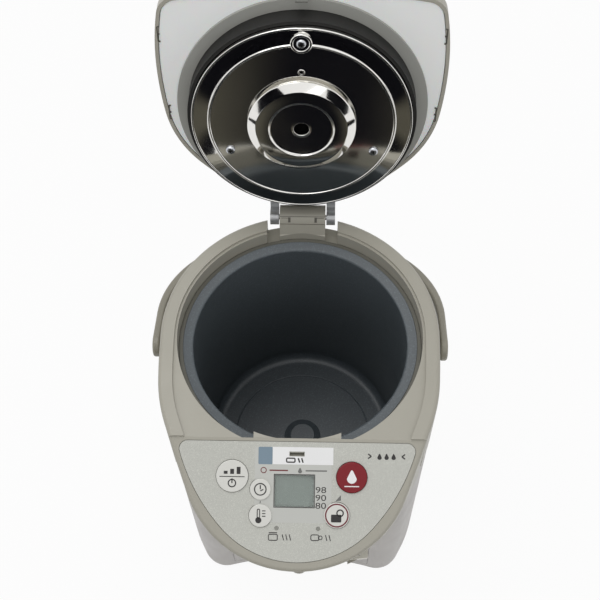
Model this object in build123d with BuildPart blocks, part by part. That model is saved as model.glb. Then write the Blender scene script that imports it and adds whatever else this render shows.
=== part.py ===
from build123d import *
import os
from math import cos, radians, sin, tan

# Electric thermo pot. Millimetres, +Z up, the spout towards -Y and the lid hinge towards +Y.
# The origin is the vessel's axis on the table. The lid stands open, as far as its stop.

# ---------------------------------------------------------------- driving dimensions
# Heights
foot_height = 2.5
base_thickness = 3.5
machine_height = 69.4        # room for pump, boards and heater under the vessel
floor_thickness = 1.0
vessel_depth = 183.6
ledge_rise = 12.0            # vessel rim up to the ledge that the lid closes on
crease_step = 2.0            # ledge up to the band round it
head_height = 52.0           # the band down to the seam with the casing
beak_depth = 72.0            # the ledge down to the beak's underside

# Body, seen from above
side_radius = 600.0
side_turn = 3.4
shoulder_radius = 120.0
flank_angle = 20.0
flank_length = 53.9          # where the beak's side would reach the height of the ledge
beak_foot_angle = 26.0
beak_foot_length = 25.9
panel_slope = 25.0
ridge_y = -79.5              # where the ledge meets the sloping panel
crease_inset = 10.2
head_wall = 2.5
head_round = 3.0
ledge_wall = 2.5
beak_skin = 2.6
beak_round = 3.0
beak_floor = 2.0
tab_half = 30.0              # the wedges that close the corner between ridge and recess
tab_radius = 80.6
tab_sink = 0.4
tab_thickness = 2.4
lug_width = 11.0
lug_x = 41.5
lug_height = 10.0
lug_rise = 2.0
casing_wall = 2.4
casing_shoulder_radius = 100.0
casing_shoulder_angle = 28.0
casing_flank = 8.0
corner_radius = 20.0
hollow_angle = 14.6          # how far the front face is hollowed between its corners
front_half_width = 58.0
front_edge = 6.0             # casing left standing under the front cover
lap_width = 6.0
lap_thickness = 1.6
seam_gap = 0.3
fit_gap = 0.05               # pins in bores, hoses on spigots
lip_height = 8.0
lip_wall = 2.0

# Vessel
mouth_radius = 77.5
vessel_wall = 0.8
vacuum_gap = 2.9
rim_width = 7.2              # from the vessel's mouth out to the edge of its rim
rim_gap = 3.3                # round the rim, where the seal lies
rim_drop = 1.3
floor_corner = 7.5
floor_groove_radius = 57.8
floor_groove_width = 1.4
floor_groove_depth = 0.4
boss_radius = 15.7
boss_top_radius = 10.0
boss_rise = 3.6
jacket_lift = 8.6
ledge_width = 12.0           # from the recess out to the body's side
recess_wall = 2.2
shelf_drop = 4.0             # the shelf under the vessel's rim
shelf_thickness = 2.5
shelf_gap = 0.6              # round the vessel's jacket
seal_height = 2.6
seal_lip_width = 2.6
seal_lip_height = 1.2
seal_gap = 0.4
outlet_bore = 4.0
outlet_y = -60.0
strainer_radius = 9.0
strainer_height = 4.0
strainer_wall = 0.8

# Heater under the vessel
heater_outer = 42.0
heater_inner = 20.0
heater_thickness = 3.0
heater_gap = 0.1
probe_radius = 6.0
probe_flange_thickness = 2.0
probe_flange_lap = 6.0       # the sensor's flange holds this much of the heater's inner edge

# Pump
motor_radius = 12.2
motor_height = 27.0
motor_lift = 3.0
shaft_radius = 1.5
shaft_depth = 6.0
bracket_thickness = 1.6
bracket_rim = 1.0            # the bracket's plate past its posts
post_radius = 3.0
post_circle = 17.5
magnet_radius = 12.0
magnet_height = 5.0
magnet_gap = 1.2
chamber_radius = 17.0
chamber_height = 8.4
pump_wall = 3.5
pump_floor = 1.6
impeller_radius = 15.0
impeller_gap = 1.0
impeller_plate = 2.6
vane_height = 3.4
vane_thickness = 1.6
vane_count = 6
hub_radius = 4.0
pump_cover_thickness = 3.0
spigot_wall = 1.0
spigot_length = 7.0
pump_screw_radius = 1.0
pump_screw_head = 1.7
pump_screw_length = 9.0
hose_wall = 2.0
hose_overlap = 5.0
delivery_bore = 3.5
delivery_wall = 1.1
delivery_reach = 32.0
riser_x = 50.0
riser_foot = 8.0             # the glass tube starts this far under the vessel's bottom
riser_top = 192.0
hose_bend = 10.0
outlet_level = 221.0

# Spout
spout_x = 1.6
spout_y = -143.0
spout_radius = 9.5
spout_tip_radius = 6.5
spout_stem_radius = 5.3
spout_drop = 14.0
spout_stem = 3.0
spout_spigot = 7.5

# Control panel, measured down the slope from the ridge
panel_top = 2.1
panel_corner = 6.0
panel_half_width = 82.7
panel_flank = (69.5, 36.3)
panel_shoulder = (52.2, 60.5)
panel_nose = 84.1
panel_thickness = 1.2
panel_sink = 0.2
panel_gap = 0.35
board_gap = 9.0
board_width = 108.0
board_length = 45.0
board_centre = 42.0
board_thickness = 1.6
board_posts = [(-49.0, 46.0), (49.0, 46.0), (-22.0, 22.0), (22.0, 22.0)]
board_post_radius = 2.0
window_x = -1.5
window_s = 35.7
window_width = 27.0
window_length = 21.6
lcd_margin = 0.7
lcd_thickness = 3.5
holder_wall = 1.5
mode_button = (-44.0, 26.1, 11.0)          # across, down the slope, radius
timer_button = (-24.6, 34.8, 7.2)
temperature_button = (-24.4, 52.6, 7.8)
dispense_button = (37.5, 25.9, 10.5)
unlock_button = (27.6, 51.6, 8.8)
button_places = (mode_button, timer_button, temperature_button, dispense_button, unlock_button)
button_rise = 1.4
button_round = 0.7
button_travel = 0.8
button_flange = 1.2
button_gap = 0.3
stem_radius = 2.0
switch_size = 6.0
switch_height = 4.3
light_centres = [(-13.2, 60.9), (15.0, 60.9)]
light_radius = 1.4
lamp_size = 3.6
lamp_height = 2.0

# Handle
handle_side_gap = 1.3        # between the handle's ends and the body's sides
handle_thickness = 5.5
handle_height = 18.0
handle_front = 8.5
handle_straight = 27.0
handle_bend = 95.0
handle_bend_turn = 50.0
handle_grip_extra = 2.5
handle_round = 1.8
handle_droop = 20.0
pivot_y = -1.5
pivot_drop = 5.0
pivot_radius = 4.0
pivot_flange_radius = 6.5
pivot_flange_thickness = 2.0
pivot_seat = 2.0

# Hinge
hinge_overhang = 0.7         # the hinge's axis lies this far behind the body
hinge_rise = 10.1
open_angle = 104.5
notch_half = 26.5
notch_drop = 2.0             # the notch's floor under the vessel's rim
notch_wall = 2.5
block_half = 17.2
block_setback = 2.7
block_lean = 8.0
block_step = 2.4
barrel_radius = 9.2
pin_radius = 2.0
arm_inner = 18.0
arm_width = 6.5
eye_radius = 5.8
arm_rise = 5.0
arm_foot = 11.0
arm_slot = 5.0               # the lid's cover is open this far ahead of the liner's notch

# Lid, its heights as it lies closed
lid_gap = 0.4
lid_height = 15.6
lid_wall = 2.5
lid_back = 94.3
# The lid's edge from the hinge round to the front corner, as radius and turn
lid_bends = [(58.0, 30.0), (204.0, 16.0), (82.5, 36.0), (288.0, 8.0), (216.0, 10.7)]
lid_corner = 15.0
lid_front_angle = 10.0       # the front edge meets the corners at this angle
lid_edge_round = 7.0
lid_notch_half = 27.0
liner_rise = 1.0
liner_thickness = 2.0
liner_gap = 0.4
liner_bevel = 116.7          # the liner's front corners are cut off this far from the vessel's axis
ring_thickness = 2.2
ring_gap = 1.0
gasket_outer = 78.8
gasket_wall = 2.3
gasket_clearance = 0.5
plate_sheet = 0.8
plate_drop = 5.2             # the inner plate's underside below the vessel's rim
bead_a_radius = 75.7
bead_a_rise = 1.6
bead_b_radius = 63.65
bead_b_depth = 0.75
plate_rim_rise = 9.0
plate_boss_radius = 6.2
pin_hole_y = -42.7
pin_hole_radius = 1.2
cap_outer = 37.3
cap_flat = 30.5              # the raised flat's outer edge
cap_well = 22.4              # the shallow well in the flat
cap_hole = 5.5
cap_drop = 3.5
cap_well_depth = 1.7
cap_sheet = 0.8
lid_screw_places = [(0.0, -65.4), (50.0, 23.0), (-50.0, 23.0)]
lid_screw_head = 2.6
lid_screw_head_height = 1.6
lid_screw_radius = 1.4
lid_screw_length = 14.0
lid_post_radius = 4.0
ball_radius = 5.0
ball_clearance = 0.5
ball_travel = 3.0
seat_radius = 3.4
cage_wall = 1.2
cage_base = 1.0
vent_y = 44.0
vent_radius = 13.0
vent_wall = 1.5
vent_rise = 1.6
vent_flange = 2.0
vent_slots = 5
lever_half = 26.0
lever_length = 24.0
lever_thickness = 3.0
lever_rear = -58.0
lever_pin_radius = 1.2
lever_pin_length = 1.8
pocket_wall = 2.0
pocket_gap = 0.4
finger_gap = 1.6
hook_half = 4.0
hook_thickness = 1.0
hook_y = -89.6
hook_reach = 2.8
hook_travel = 1.0
slide_length = 10.0
slide_thickness = 2.0
guide_wall = 2.0

# Power inlet at the back
inlet_height = 40.0
inlet_width = 44.0
inlet_tall = 26.0
inlet_open_width = 32.0
inlet_open_tall = 14.0
inlet_depth = 13.0
inlet_back_wall = 3.0
inlet_proud = 1.2
inlet_flange = 3.0
inlet_pin_radius = 1.6
inlet_pin_length = 5.0
inlet_pin_tail = 4.0
inlet_pin_spacing = 12.0

# Water gauge in the front cover
gauge_width = 8.0
gauge_bottom = 62.0
gauge_top = 186.0
gauge_proud = 0.3

# Base and power board
foot_inner = 72.0
foot_outer = 84.0
base_inset = 0.5
screw_post_radius = 5.0
screw_post_height = 20.0
screw_post_reach = 13.5
base_screw_radius = 1.6
base_screw_head = 3.0
base_screw_sink = 1.8
base_screw_length = 14.0
power_board_width = 76.0
power_board_length = 50.0
power_board_y = 22.0
standoff_height = 8.0
standoff_radius = 3.0
standoff_inset = 5.0

# ---------------------------------------------------------------- derived sizes
base_top = foot_height + base_thickness
vessel_bottom = base_top + machine_height
vessel_floor = vessel_bottom + floor_thickness
rim_z = vessel_floor + vessel_depth
ledge_z = rim_z + ledge_rise
rim_radius = mouth_radius + rim_width
recess_radius = rim_radius + rim_gap
body_radius = recess_radius + ledge_width
band_z = ledge_z + crease_step
head_bottom = band_z - head_height
beak_bottom = ledge_z - beak_depth
casing_top = head_bottom - seam_gap
casing_front_top = beak_bottom - seam_gap
jacket_radius = mouth_radius + vessel_wall + vacuum_gap + vessel_wall
shelf_z = rim_z - shelf_drop
pivot_z = rim_z - pivot_drop
handle_inner = body_radius + handle_side_gap
handle_outer = handle_inner + handle_thickness
hinge_y = body_radius + hinge_overhang
hinge_z = rim_z + hinge_rise
notch_z = rim_z - notch_drop
lid_bottom = band_z + lid_gap
lid_top = lid_bottom + lid_height
liner_z = band_z + liner_rise
liner_top = liner_z + liner_thickness
plate_z = rim_z - plate_drop
plate_top = plate_z + plate_sheet
bracket_z = base_top + motor_lift + motor_height
magnet_z = bracket_z + bracket_thickness + magnet_gap
pump_z = magnet_z + magnet_height + magnet_gap
chamber_z = pump_z + pump_floor
pump_top = chamber_z + chamber_height
pump_cover_top = pump_top + pump_cover_thickness
pump_radius = chamber_radius + pump_wall
spigot_radius = outlet_bore + spigot_wall
delivery_radius = delivery_bore + delivery_wall
delivery_hose_radius = delivery_radius + fit_gap
delivery_y = outlet_y - chamber_radius + delivery_bore
delivery_z = pump_top - delivery_radius - 0.2
heater_z = vessel_bottom - heater_gap - heater_thickness
riser_z = vessel_bottom - riser_foot
slope = tan(radians(panel_slope))
board_h = -beak_skin - board_gap
arm_outer = arm_inner + arm_width
arm_top = lid_bottom + arm_rise

level = Plane.XY.offset
panel_plane = Plane(
    origin=(0, ridge_y, ledge_z),
    x_dir=(1, 0, 0),
    z_dir=(0, -sin(radians(panel_slope)), cos(radians(panel_slope))),
)
handle_plane = Plane(
    origin=(0, pivot_y, pivot_z),
    x_dir=(1, 0, 0),
    z_dir=(0, sin(radians(handle_droop)), cos(radians(handle_droop))),
)
# The lid's own frame: a point of the closed lid keeps its numbers here as the lid stands open
lid_plane = Plane(
    origin=(
        0,
        hinge_y - hinge_y * cos(radians(open_angle)) - hinge_z * sin(radians(open_angle)),
        hinge_z + hinge_y * sin(radians(open_angle)) - hinge_z * cos(radians(open_angle)),
    ),
    x_dir=(1, 0, 0),
    z_dir=(0, sin(radians(open_angle)), cos(radians(open_angle))),
)
lid_axis = Axis(lid_plane.origin, lid_plane.z_dir)
lid_depth = Axis(lid_plane.origin, lid_plane.y_dir)


# ---------------------------------------------------------------- outlines and helpers
def tangent_run(start, heading, inset, *steps):
    """Arcs (radius, turn) and straights (length, 0), each leaving where the last one points.

    A right turn rounds the outside of the body, so an inset takes from its radius.
    """
    point = Vector(*start)
    for size, turn in steps:
        direction = Vector(cos(radians(heading)), sin(radians(heading)))
        if turn == 0:
            piece = Line(point, point + direction * size)
        else:
            piece = JernArc(point, direction, size + (inset if turn > 0 else -inset), turn)
            heading += turn
        point = piece @ 1
    return point


def head_outline(plane, inset=0.0, angle=flank_angle, length=flank_length):
    """The head seen from above, from the back round to the beak's nose."""
    shoulder_x = (
        body_radius
        - side_radius * (1 - cos(radians(side_turn)))
        - shoulder_radius * (cos(radians(side_turn)) - cos(radians(angle)))
    )
    nose_radius = (shoulder_x - length * sin(radians(angle))) / cos(radians(angle))
    with BuildSketch(plane) as outline:
        with BuildLine():
            JernArc((0, body_radius - inset), (1, 0), body_radius - inset, -90)
            tangent_run(
                (body_radius - inset, 0), -90, inset,
                (side_radius, -side_turn), (shoulder_radius, side_turn - angle),
                (length, 0), (nose_radius, angle - 90),
            )
            mirror(about=Plane.YZ)
        make_face()
    return outline.sketch


def casing_outline(plane, inset=0.0):
    """The lower body seen from above, with two front corners and a hollow face between them."""
    shoulder_x = (
        body_radius
        - side_radius * (1 - cos(radians(side_turn)))
        - casing_shoulder_radius * (cos(radians(side_turn)) - cos(radians(casing_shoulder_angle)))
    )
    corner_turn = 90 - casing_shoulder_angle + hollow_angle
    corner_x = (
        shoulder_x
        - casing_flank * sin(radians(casing_shoulder_angle))
        - corner_radius * (cos(radians(casing_shoulder_angle)) - cos(radians(90 + hollow_angle)))
    )
    hollow_radius = corner_x / sin(radians(hollow_angle))
    with BuildSketch(plane) as outline:
        with BuildLine():
            JernArc((0, body_radius - inset), (1, 0), body_radius - inset, -90)
            tangent_run(
                (body_radius - inset, 0), -90, inset,
                (side_radius, -side_turn), (casing_shoulder_radius, side_turn - casing_shoulder_angle),
                (casing_flank, 0), (corner_radius, -corner_turn), (hollow_radius, hollow_angle),
            )
            mirror(about=Plane.YZ)
        make_face()
    return outline.sketch


def corner_centre():
    """The centre of the casing's round front corner, on the right."""
    with BuildLine() as run:
        end = tangent_run(
            (body_radius, 0), -90, 0,
            (side_radius, -side_turn), (casing_shoulder_radius, side_turn - casing_shoulder_angle),
            (casing_flank, 0),
        )
    angle = radians(casing_shoulder_angle)
    return (end.X - corner_radius * cos(angle), end.Y + corner_radius * sin(angle))


def lid_outline(plane, inset=0.0):
    """The lid seen from above: round at the back, with a gently bowed front edge."""
    bends = [(radius, -turn) for radius, turn in lid_bends]
    corner_turn = 180 - lid_front_angle - sum(turn for radius, turn in lid_bends)
    with BuildSketch(plane) as outline:
        with BuildLine():
            corner = tangent_run((0, lid_back - inset), 0, inset, *bends, (lid_corner, -corner_turn))
            bow = radians(lid_front_angle)
            JernArc(corner, (-cos(bow), -sin(bow)), corner.X / sin(bow), -lid_front_angle)
            mirror(about=Plane.YZ)
        make_face()
    return outline.sketch


def disc(plane, outer, inner=0.0, centre=(0, 0)):
    """A disc or a ring on a plane."""
    with BuildSketch(plane) as shape:
        with Locations(centre):
            Circle(outer)
            if inner:
                Circle(inner, mode=Mode.SUBTRACT)
    return shape.sketch


def drum(plane, height, outer, inner=0.0, centre=(0, 0), mode=Mode.ADD):
    """A cylinder or a tube standing on a plane."""
    extrude(disc(plane, outer, inner, centre), amount=height, mode=mode)


def slab(plane, height, width, length, centre=(0, 0), mode=Mode.ADD):
    """A rectangular plate standing on a plane."""
    with BuildSketch(plane) as shape:
        with Locations(centre):
            Rectangle(width, length)
    extrude(shape.sketch, amount=height, mode=mode)


def block(low, high, mode=Mode.ADD, plane=Plane.XY):
    """A box between two corners, given in a plane's frame."""
    width, length, height = (b - a for a, b in zip(low, high))
    centre = ((low[0] + high[0]) / 2, (low[1] + high[1]) / 2)
    slab(plane.offset(low[2]), height, width, length, centre, mode)


def turned(plane, points, mode=Mode.ADD):
    """A body of revolution about a plane's normal, from its outline as radius and height."""
    side = Plane(origin=plane.origin, x_dir=plane.x_dir, z_dir=-plane.y_dir)
    with BuildSketch(side) as profile:
        Polygon(*points, align=None)
    revolve(profile.sketch, axis=Axis(plane.origin, plane.z_dir), mode=mode)


def side_plate(plane, points, half, inner=0.0):
    """A plate from its outline seen from the side: one across the middle, or a pair."""
    side = Plane(origin=plane.origin, x_dir=plane.y_dir, z_dir=plane.x_dir)
    with BuildSketch(side) as profile:
        Polygon(*points, align=None)
    if inner:
        for sign in (-1, 1):
            extrude(profile.sketch.moved(Location(plane.x_dir * sign * inner)), amount=sign * (half - inner))
    else:
        extrude(profile.sketch, amount=half, both=True)


def crosswise(plane, y, z, radius, half, inner=0.0, mode=Mode.ADD):
    """A cylinder along X about a point given in a plane's frame: one, or a pair."""
    side = Plane(origin=plane.origin, x_dir=plane.y_dir, z_dir=plane.x_dir)
    with BuildSketch(side) as profile:
        with Locations((y, z)):
            Circle(radius)
    if inner:
        for sign in (-1, 1):
            extrude(
                profile.sketch.moved(Location(plane.x_dir * sign * inner)),
                amount=sign * (half - inner), mode=mode,
            )
    else:
        extrude(profile.sketch, amount=half, both=True, mode=mode)


def hose(points, bore):
    """A hose along straight runs joined by arcs."""
    with BuildPart() as tube:
        with BuildLine() as run:
            path = FilletPolyline(*points, radius=hose_bend)
        for radius, mode in ((bore + hose_wall, Mode.ADD), (bore, Mode.SUBTRACT)):
            with BuildSketch(Plane(origin=path @ 0, z_dir=path % 0)) as section:
                Circle(radius)
            sweep(section.sketch, path=path, mode=mode)
    return tube.part


def slope_height(y):
    """The height of the beak's sloping top."""
    return ledge_z + (y - ridge_y) * slope


def beak_form(inset, skin):
    """The beak's outer form, or its hollow when inset, cut to the slope on top."""
    with BuildPart() as form:
        loft([
            head_outline(level(beak_bottom), inset, beak_foot_angle, beak_foot_length),
            head_outline(level(ledge_z), inset),
        ])
        split(bisect_by=Plane(origin=(0, ridge_y, 0), z_dir=(0, -1, 0)), keep=Keep.TOP)
        split(bisect_by=panel_plane.offset(-skin), keep=Keep.BOTTOM)
    return form.part


def panel_outline(plane, inset=0.0):
    """The control panel's outline, in the panel's own plane."""
    flank_x, flank_s = panel_flank
    shoulder_x, shoulder_s = panel_shoulder
    with BuildSketch(plane) as outline:
        with BuildLine():
            top = Line((-panel_half_width, -panel_top), (panel_half_width, -panel_top))
            right = ThreePointArc(top @ 1, (flank_x, -flank_s), (shoulder_x, -shoulder_s))
            nose = ThreePointArc(right @ 1, (0, -panel_nose), (-shoulder_x, -shoulder_s))
            ThreePointArc(nose @ 1, (-flank_x, -flank_s), top @ 0)
        make_face()
        fillet(outline.vertices().group_by(Axis.Y)[-1], panel_corner)
        if inset:
            offset(amount=-inset)
    return outline.sketch


def panel_openings():
    """Holes through the panel for the buttons, the window and the lamps."""
    below = panel_plane.offset(-beak_skin - 1)
    for across, down, radius in button_places:
        drum(below, beak_skin + 2, radius + button_gap, centre=(across, -down), mode=Mode.SUBTRACT)
    slab(below, beak_skin + 2, window_width, window_length, (window_x, -window_s), Mode.SUBTRACT)
    for across, down in light_centres:
        drum(below, beak_skin + 2, light_radius + 0.1, centre=(across, -down), mode=Mode.SUBTRACT)


def catch_slot():
    """The slot in the sloping top that the lid's hook drops into."""
    block(
        (-hook_half - 1, hook_y - hook_thickness / 2 - seam_gap, slope_height(hook_y) - 2 * beak_skin),
        (hook_half + 1, hook_y + hook_thickness / 2 + hook_travel + seam_gap, band_z),
        Mode.SUBTRACT,
    )


def push_button(across, down, radius):
    """A cap over a retaining flange, with a stem down to its switch."""
    cap_top = -panel_sink + button_rise
    flange_top = -beak_skin - 0.1
    stem_end = board_h + switch_height + button_travel + 0.1
    with BuildPart() as cap:
        drum(panel_plane.offset(flange_top), cap_top - flange_top, radius, centre=(across, -down))
        fillet(cap.edges().sort_by(Axis(panel_plane.origin, panel_plane.z_dir))[-1], button_round)
        drum(panel_plane.offset(flange_top - button_flange), button_flange, radius + button_flange,
             centre=(across, -down))
        drum(panel_plane.offset(stem_end), flange_top - stem_end, stem_radius, centre=(across, -down))
    add(cap.part)


# ---------------------------------------------------------------- base
screw_angle = radians(45)
screw_post_circle = body_radius - casing_wall - screw_post_radius + 1
front_corner = corner_centre()
front_screw = (
    front_corner[0] + screw_post_reach * cos(radians(-60)),
    front_corner[1] + screw_post_reach * sin(radians(-60)),
)
screw_places = [
    (screw_post_circle * cos(screw_angle), screw_post_circle * sin(screw_angle)),
    (-screw_post_circle * cos(screw_angle), screw_post_circle * sin(screw_angle)),
    front_screw,
    (-front_screw[0], front_screw[1]),
]
standoff_places = [
    (sx * (power_board_width / 2 - standoff_inset), power_board_y + sy * (power_board_length / 2 - standoff_inset))
    for sx in (-1, 1) for sy in (-1, 1)
]

with BuildPart() as foot_ring:
    drum(level(0), foot_height, foot_outer, foot_inner)

with BuildPart() as base_plate:
    extrude(casing_outline(level(foot_height), base_inset), amount=base_thickness)
    extrude(casing_outline(level(base_top), casing_wall + seam_gap), amount=lip_height)
    extrude(casing_outline(level(base_top), casing_wall + seam_gap + lip_wall),
            amount=lip_height, mode=Mode.SUBTRACT)
    for place in screw_places:
        drum(level(base_top), lip_height, screw_post_radius + seam_gap, centre=place, mode=Mode.SUBTRACT)
        drum(level(foot_height), base_thickness, base_screw_radius + fit_gap, centre=place,
             mode=Mode.SUBTRACT)
        drum(level(foot_height), base_screw_sink, base_screw_head + seam_gap, centre=place,
             mode=Mode.SUBTRACT)
    for place in standoff_places:
        drum(level(base_top), standoff_height, standoff_radius, centre=place)

with BuildPart() as base_screws:
    for place in screw_places:
        drum(level(foot_height), base_screw_sink, base_screw_head, centre=place)
        drum(level(foot_height + base_screw_sink), base_screw_length, base_screw_radius, centre=place)

# ---------------------------------------------------------------- power board and inlet
board_z = base_top + standoff_height
board_face = board_z + board_thickness
with BuildPart() as power_board:
    slab(level(board_z), board_thickness, power_board_width, power_board_length, (0, power_board_y))

with BuildPart() as board_components:
    slab(level(board_face), 16, 20, 24, (-22, power_board_y + 8))
    slab(level(board_face), 14, 14, 18, (2, power_board_y + 10))
    slab(level(board_face), 9, 12, 8, (20, power_board_y - 14))
    for x, y, radius, height in ((24, 10, 5, 18), (24, -2, 4, 13), (-30, -14, 4, 11), (-12, -15, 3.2, 9)):
        drum(level(board_face), height, radius, centre=(x, power_board_y + y))

inlet_face = body_radius + inlet_proud
inlet_back = inlet_face - inlet_depth - inlet_back_wall
inlet_low = inlet_height - inlet_tall / 2
inlet_high = inlet_height + inlet_tall / 2
inlet_flange_front = (
    ((body_radius - casing_wall) ** 2 - (inlet_width / 2 + inlet_flange) ** 2) ** 0.5 - seam_gap
)
with BuildPart() as inlet_socket:
    block((-inlet_width / 2, inlet_back, inlet_low), (inlet_width / 2, inlet_face, inlet_high))
    block(
        (-inlet_width / 2 - inlet_flange, inlet_flange_front - inlet_flange, inlet_low - inlet_flange),
        (inlet_width / 2 + inlet_flange, inlet_flange_front, inlet_high + inlet_flange),
    )
    fillet(inlet_socket.edges().filter_by(Axis.Y).group_by(Axis.Y)[-1], 3)
    block(
        (-inlet_open_width / 2, inlet_face - inlet_depth, inlet_height - inlet_open_tall / 2),
        (inlet_open_width / 2, inlet_face, inlet_height + inlet_open_tall / 2),
        mode=Mode.SUBTRACT,
    )
    with Locations(Plane.XZ.offset(-inlet_back - inlet_back_wall)):
        with Locations((-inlet_pin_spacing / 2, inlet_height), (inlet_pin_spacing / 2, inlet_height)):
            Cylinder(inlet_pin_radius + fit_gap, 4 * inlet_back_wall, mode=Mode.SUBTRACT)

with BuildPart() as inlet_pins:
    for x in (-inlet_pin_spacing / 2, inlet_pin_spacing / 2):
        drum(Plane.XZ.offset(-inlet_back - inlet_back_wall - inlet_pin_length),
             inlet_pin_length + inlet_back_wall + inlet_pin_tail, inlet_pin_radius, centre=(x, inlet_height))

# ---------------------------------------------------------------- casing
def casing_strip(low, high, outer, inner, left, right):
    """A piece of the casing's front wall between two heights and two distances across."""
    with BuildPart() as strip:
        extrude(casing_outline(level(low), outer), amount=high - low)
        extrude(casing_outline(level(low), inner), amount=high - low, mode=Mode.SUBTRACT)
        block((left, -2 * body_radius, low), (right, ridge_y, high), Mode.INTERSECT)
    return strip.part


cover_low = base_top + front_edge
lap_low = base_top + lip_height + 2 * seam_gap
lap_high = casing_front_top - 2 * seam_gap
cover_half = front_half_width - seam_gap
lap_inset = casing_wall + fit_gap
cover_pieces = [
    casing_strip(cover_low + seam_gap, casing_front_top, 0, casing_wall, -cover_half, cover_half),
]
for near, far, start in (
    (front_half_width - lap_width, cover_half, casing_wall / 2),
    (cover_half - 1, front_half_width + lap_width, lap_inset),
):
    cover_pieces.append(casing_strip(lap_low, lap_high, start, lap_inset + lap_thickness, near, far))
    cover_pieces.append(casing_strip(lap_low, lap_high, start, lap_inset + lap_thickness, -far, -near))
gauge_slot = casing_strip(
    gauge_bottom, gauge_top, -1, 2 * casing_wall, riser_x - gauge_width / 2, riser_x + gauge_width / 2,
)
gauge_pane = casing_strip(
    gauge_bottom + fit_gap, gauge_top - fit_gap, -gauge_proud, casing_wall,
    riser_x - gauge_width / 2 + fit_gap, riser_x + gauge_width / 2 - fit_gap,
)

with BuildPart() as body_casing:
    extrude(casing_outline(level(base_top)), amount=casing_top - base_top)
    extrude(casing_outline(level(base_top), casing_wall), amount=casing_top - base_top, mode=Mode.SUBTRACT)
    block((-2 * body_radius, -2 * body_radius, casing_front_top), (2 * body_radius, ridge_y, casing_top),
          mode=Mode.SUBTRACT)
    block((-front_half_width, -2 * body_radius, cover_low), (front_half_width, ridge_y, casing_top),
          mode=Mode.SUBTRACT)
    for place in screw_places:
        drum(level(base_top), screw_post_height, screw_post_radius, centre=place)
        drum(level(base_top), base_screw_length, base_screw_radius + fit_gap, centre=place,
             mode=Mode.SUBTRACT)
    block(
        (-inlet_width / 2 - seam_gap, body_radius / 2, inlet_low - seam_gap),
        (inlet_width / 2 + seam_gap, 2 * body_radius, inlet_high + seam_gap),
        mode=Mode.SUBTRACT,
    )

with BuildPart() as front_cover:
    add(cover_pieces)
    add(gauge_slot, mode=Mode.SUBTRACT)

with BuildPart() as gauge_window:
    add(gauge_pane)

# ---------------------------------------------------------------- vessel
rim_slope = rim_drop / (rim_radius - mouth_radius)


def rim_under(radius):
    """The height of the vessel rim's underside."""
    return rim_z - vessel_wall - (rim_radius - radius) * rim_slope


wall_radius = mouth_radius + vessel_wall
with BuildPart() as vessel_liner:
    with BuildSketch(Plane.XZ) as liner_section:
        with BuildLine():
            Polyline(
                (0, vessel_floor + boss_rise),
                (boss_top_radius, vessel_floor + boss_rise),
                (boss_radius, vessel_floor),
                (floor_groove_radius - floor_groove_width / 2, vessel_floor),
                (floor_groove_radius, vessel_floor - floor_groove_depth),
                (floor_groove_radius + floor_groove_width / 2, vessel_floor),
                (mouth_radius, vessel_floor),
                (mouth_radius, rim_z - rim_drop),
                (rim_radius, rim_z),
                (rim_radius, rim_z - vessel_wall),
                (wall_radius, rim_under(wall_radius)),
                (wall_radius, vessel_bottom),
                (boss_radius, vessel_bottom),
                (boss_top_radius, vessel_bottom + boss_rise),
                (0, vessel_bottom + boss_rise),
                close=True,
            )
        make_face()
        inner_corner = liner_section.vertices().sort_by_distance(Vertex(mouth_radius, vessel_floor, 0))[0]
        fillet(inner_corner, floor_corner)
        outer_corner = liner_section.vertices().sort_by_distance(Vertex(wall_radius, vessel_bottom, 0))[0]
        fillet(outer_corner, floor_corner + vessel_wall)
        lip_corner = liner_section.vertices().sort_by_distance(
            Vertex(mouth_radius, rim_z - rim_drop, 0))[0]
        fillet(lip_corner, 2 * vessel_wall)
    revolve(axis=Axis.Z)
    drum(level(vessel_bottom - spigot_length - 2), spigot_length + 2 + floor_thickness / 2, spigot_radius,
         centre=(0, outlet_y))
    drum(level(vessel_bottom - spigot_length - 2), spigot_length + 2 + 2 * floor_thickness, outlet_bore,
         centre=(0, outlet_y), mode=Mode.SUBTRACT)

with BuildPart() as vessel_jacket:
    jacket_z = vessel_bottom + jacket_lift
    turned(level(0), [
        (wall_radius + fit_gap, jacket_z),
        (jacket_radius, jacket_z),
        (jacket_radius, rim_under(jacket_radius) - 0.2),
        (jacket_radius - vessel_wall, rim_under(jacket_radius) - 0.2),
        (jacket_radius - vessel_wall, jacket_z + vessel_wall),
        (wall_radius + fit_gap, jacket_z + vessel_wall),
    ])

seal_inner = jacket_radius + shelf_gap
seal_outer = recess_radius - seal_gap
seal_top = shelf_z + seal_height
with BuildPart() as vessel_seal:
    turned(level(0), [
        (seal_inner, shelf_z),
        (seal_outer, shelf_z),
        (seal_outer, seal_top + seal_lip_height),
        (seal_outer - seal_lip_width, seal_top + seal_lip_height),
        (seal_outer - seal_lip_width, seal_top),
        (seal_inner, seal_top),
    ])

with BuildPart() as suction_strainer:
    drum(level(vessel_floor), strainer_height, strainer_radius, centre=(0, outlet_y))
    fillet(suction_strainer.edges().group_by(Axis.Z)[-1], strainer_wall)
    drum(level(vessel_floor), strainer_height - strainer_wall, strainer_radius - strainer_wall,
         centre=(0, outlet_y), mode=Mode.SUBTRACT)
    with Locations((0, outlet_y, vessel_floor + strainer_height)):
        with PolarLocations(strainer_radius / 2, 6):
            Cylinder(strainer_radius / 8, 4 * strainer_wall, mode=Mode.SUBTRACT)
        Cylinder(strainer_radius / 8, 4 * strainer_wall, mode=Mode.SUBTRACT)
    with Locations((0, outlet_y, vessel_floor + strainer_height / 2)):
        for angle in range(0, 180, 30):
            Box(3 * strainer_radius, strainer_wall, strainer_height / 4,
                rotation=(0, 0, angle), mode=Mode.SUBTRACT)

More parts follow.
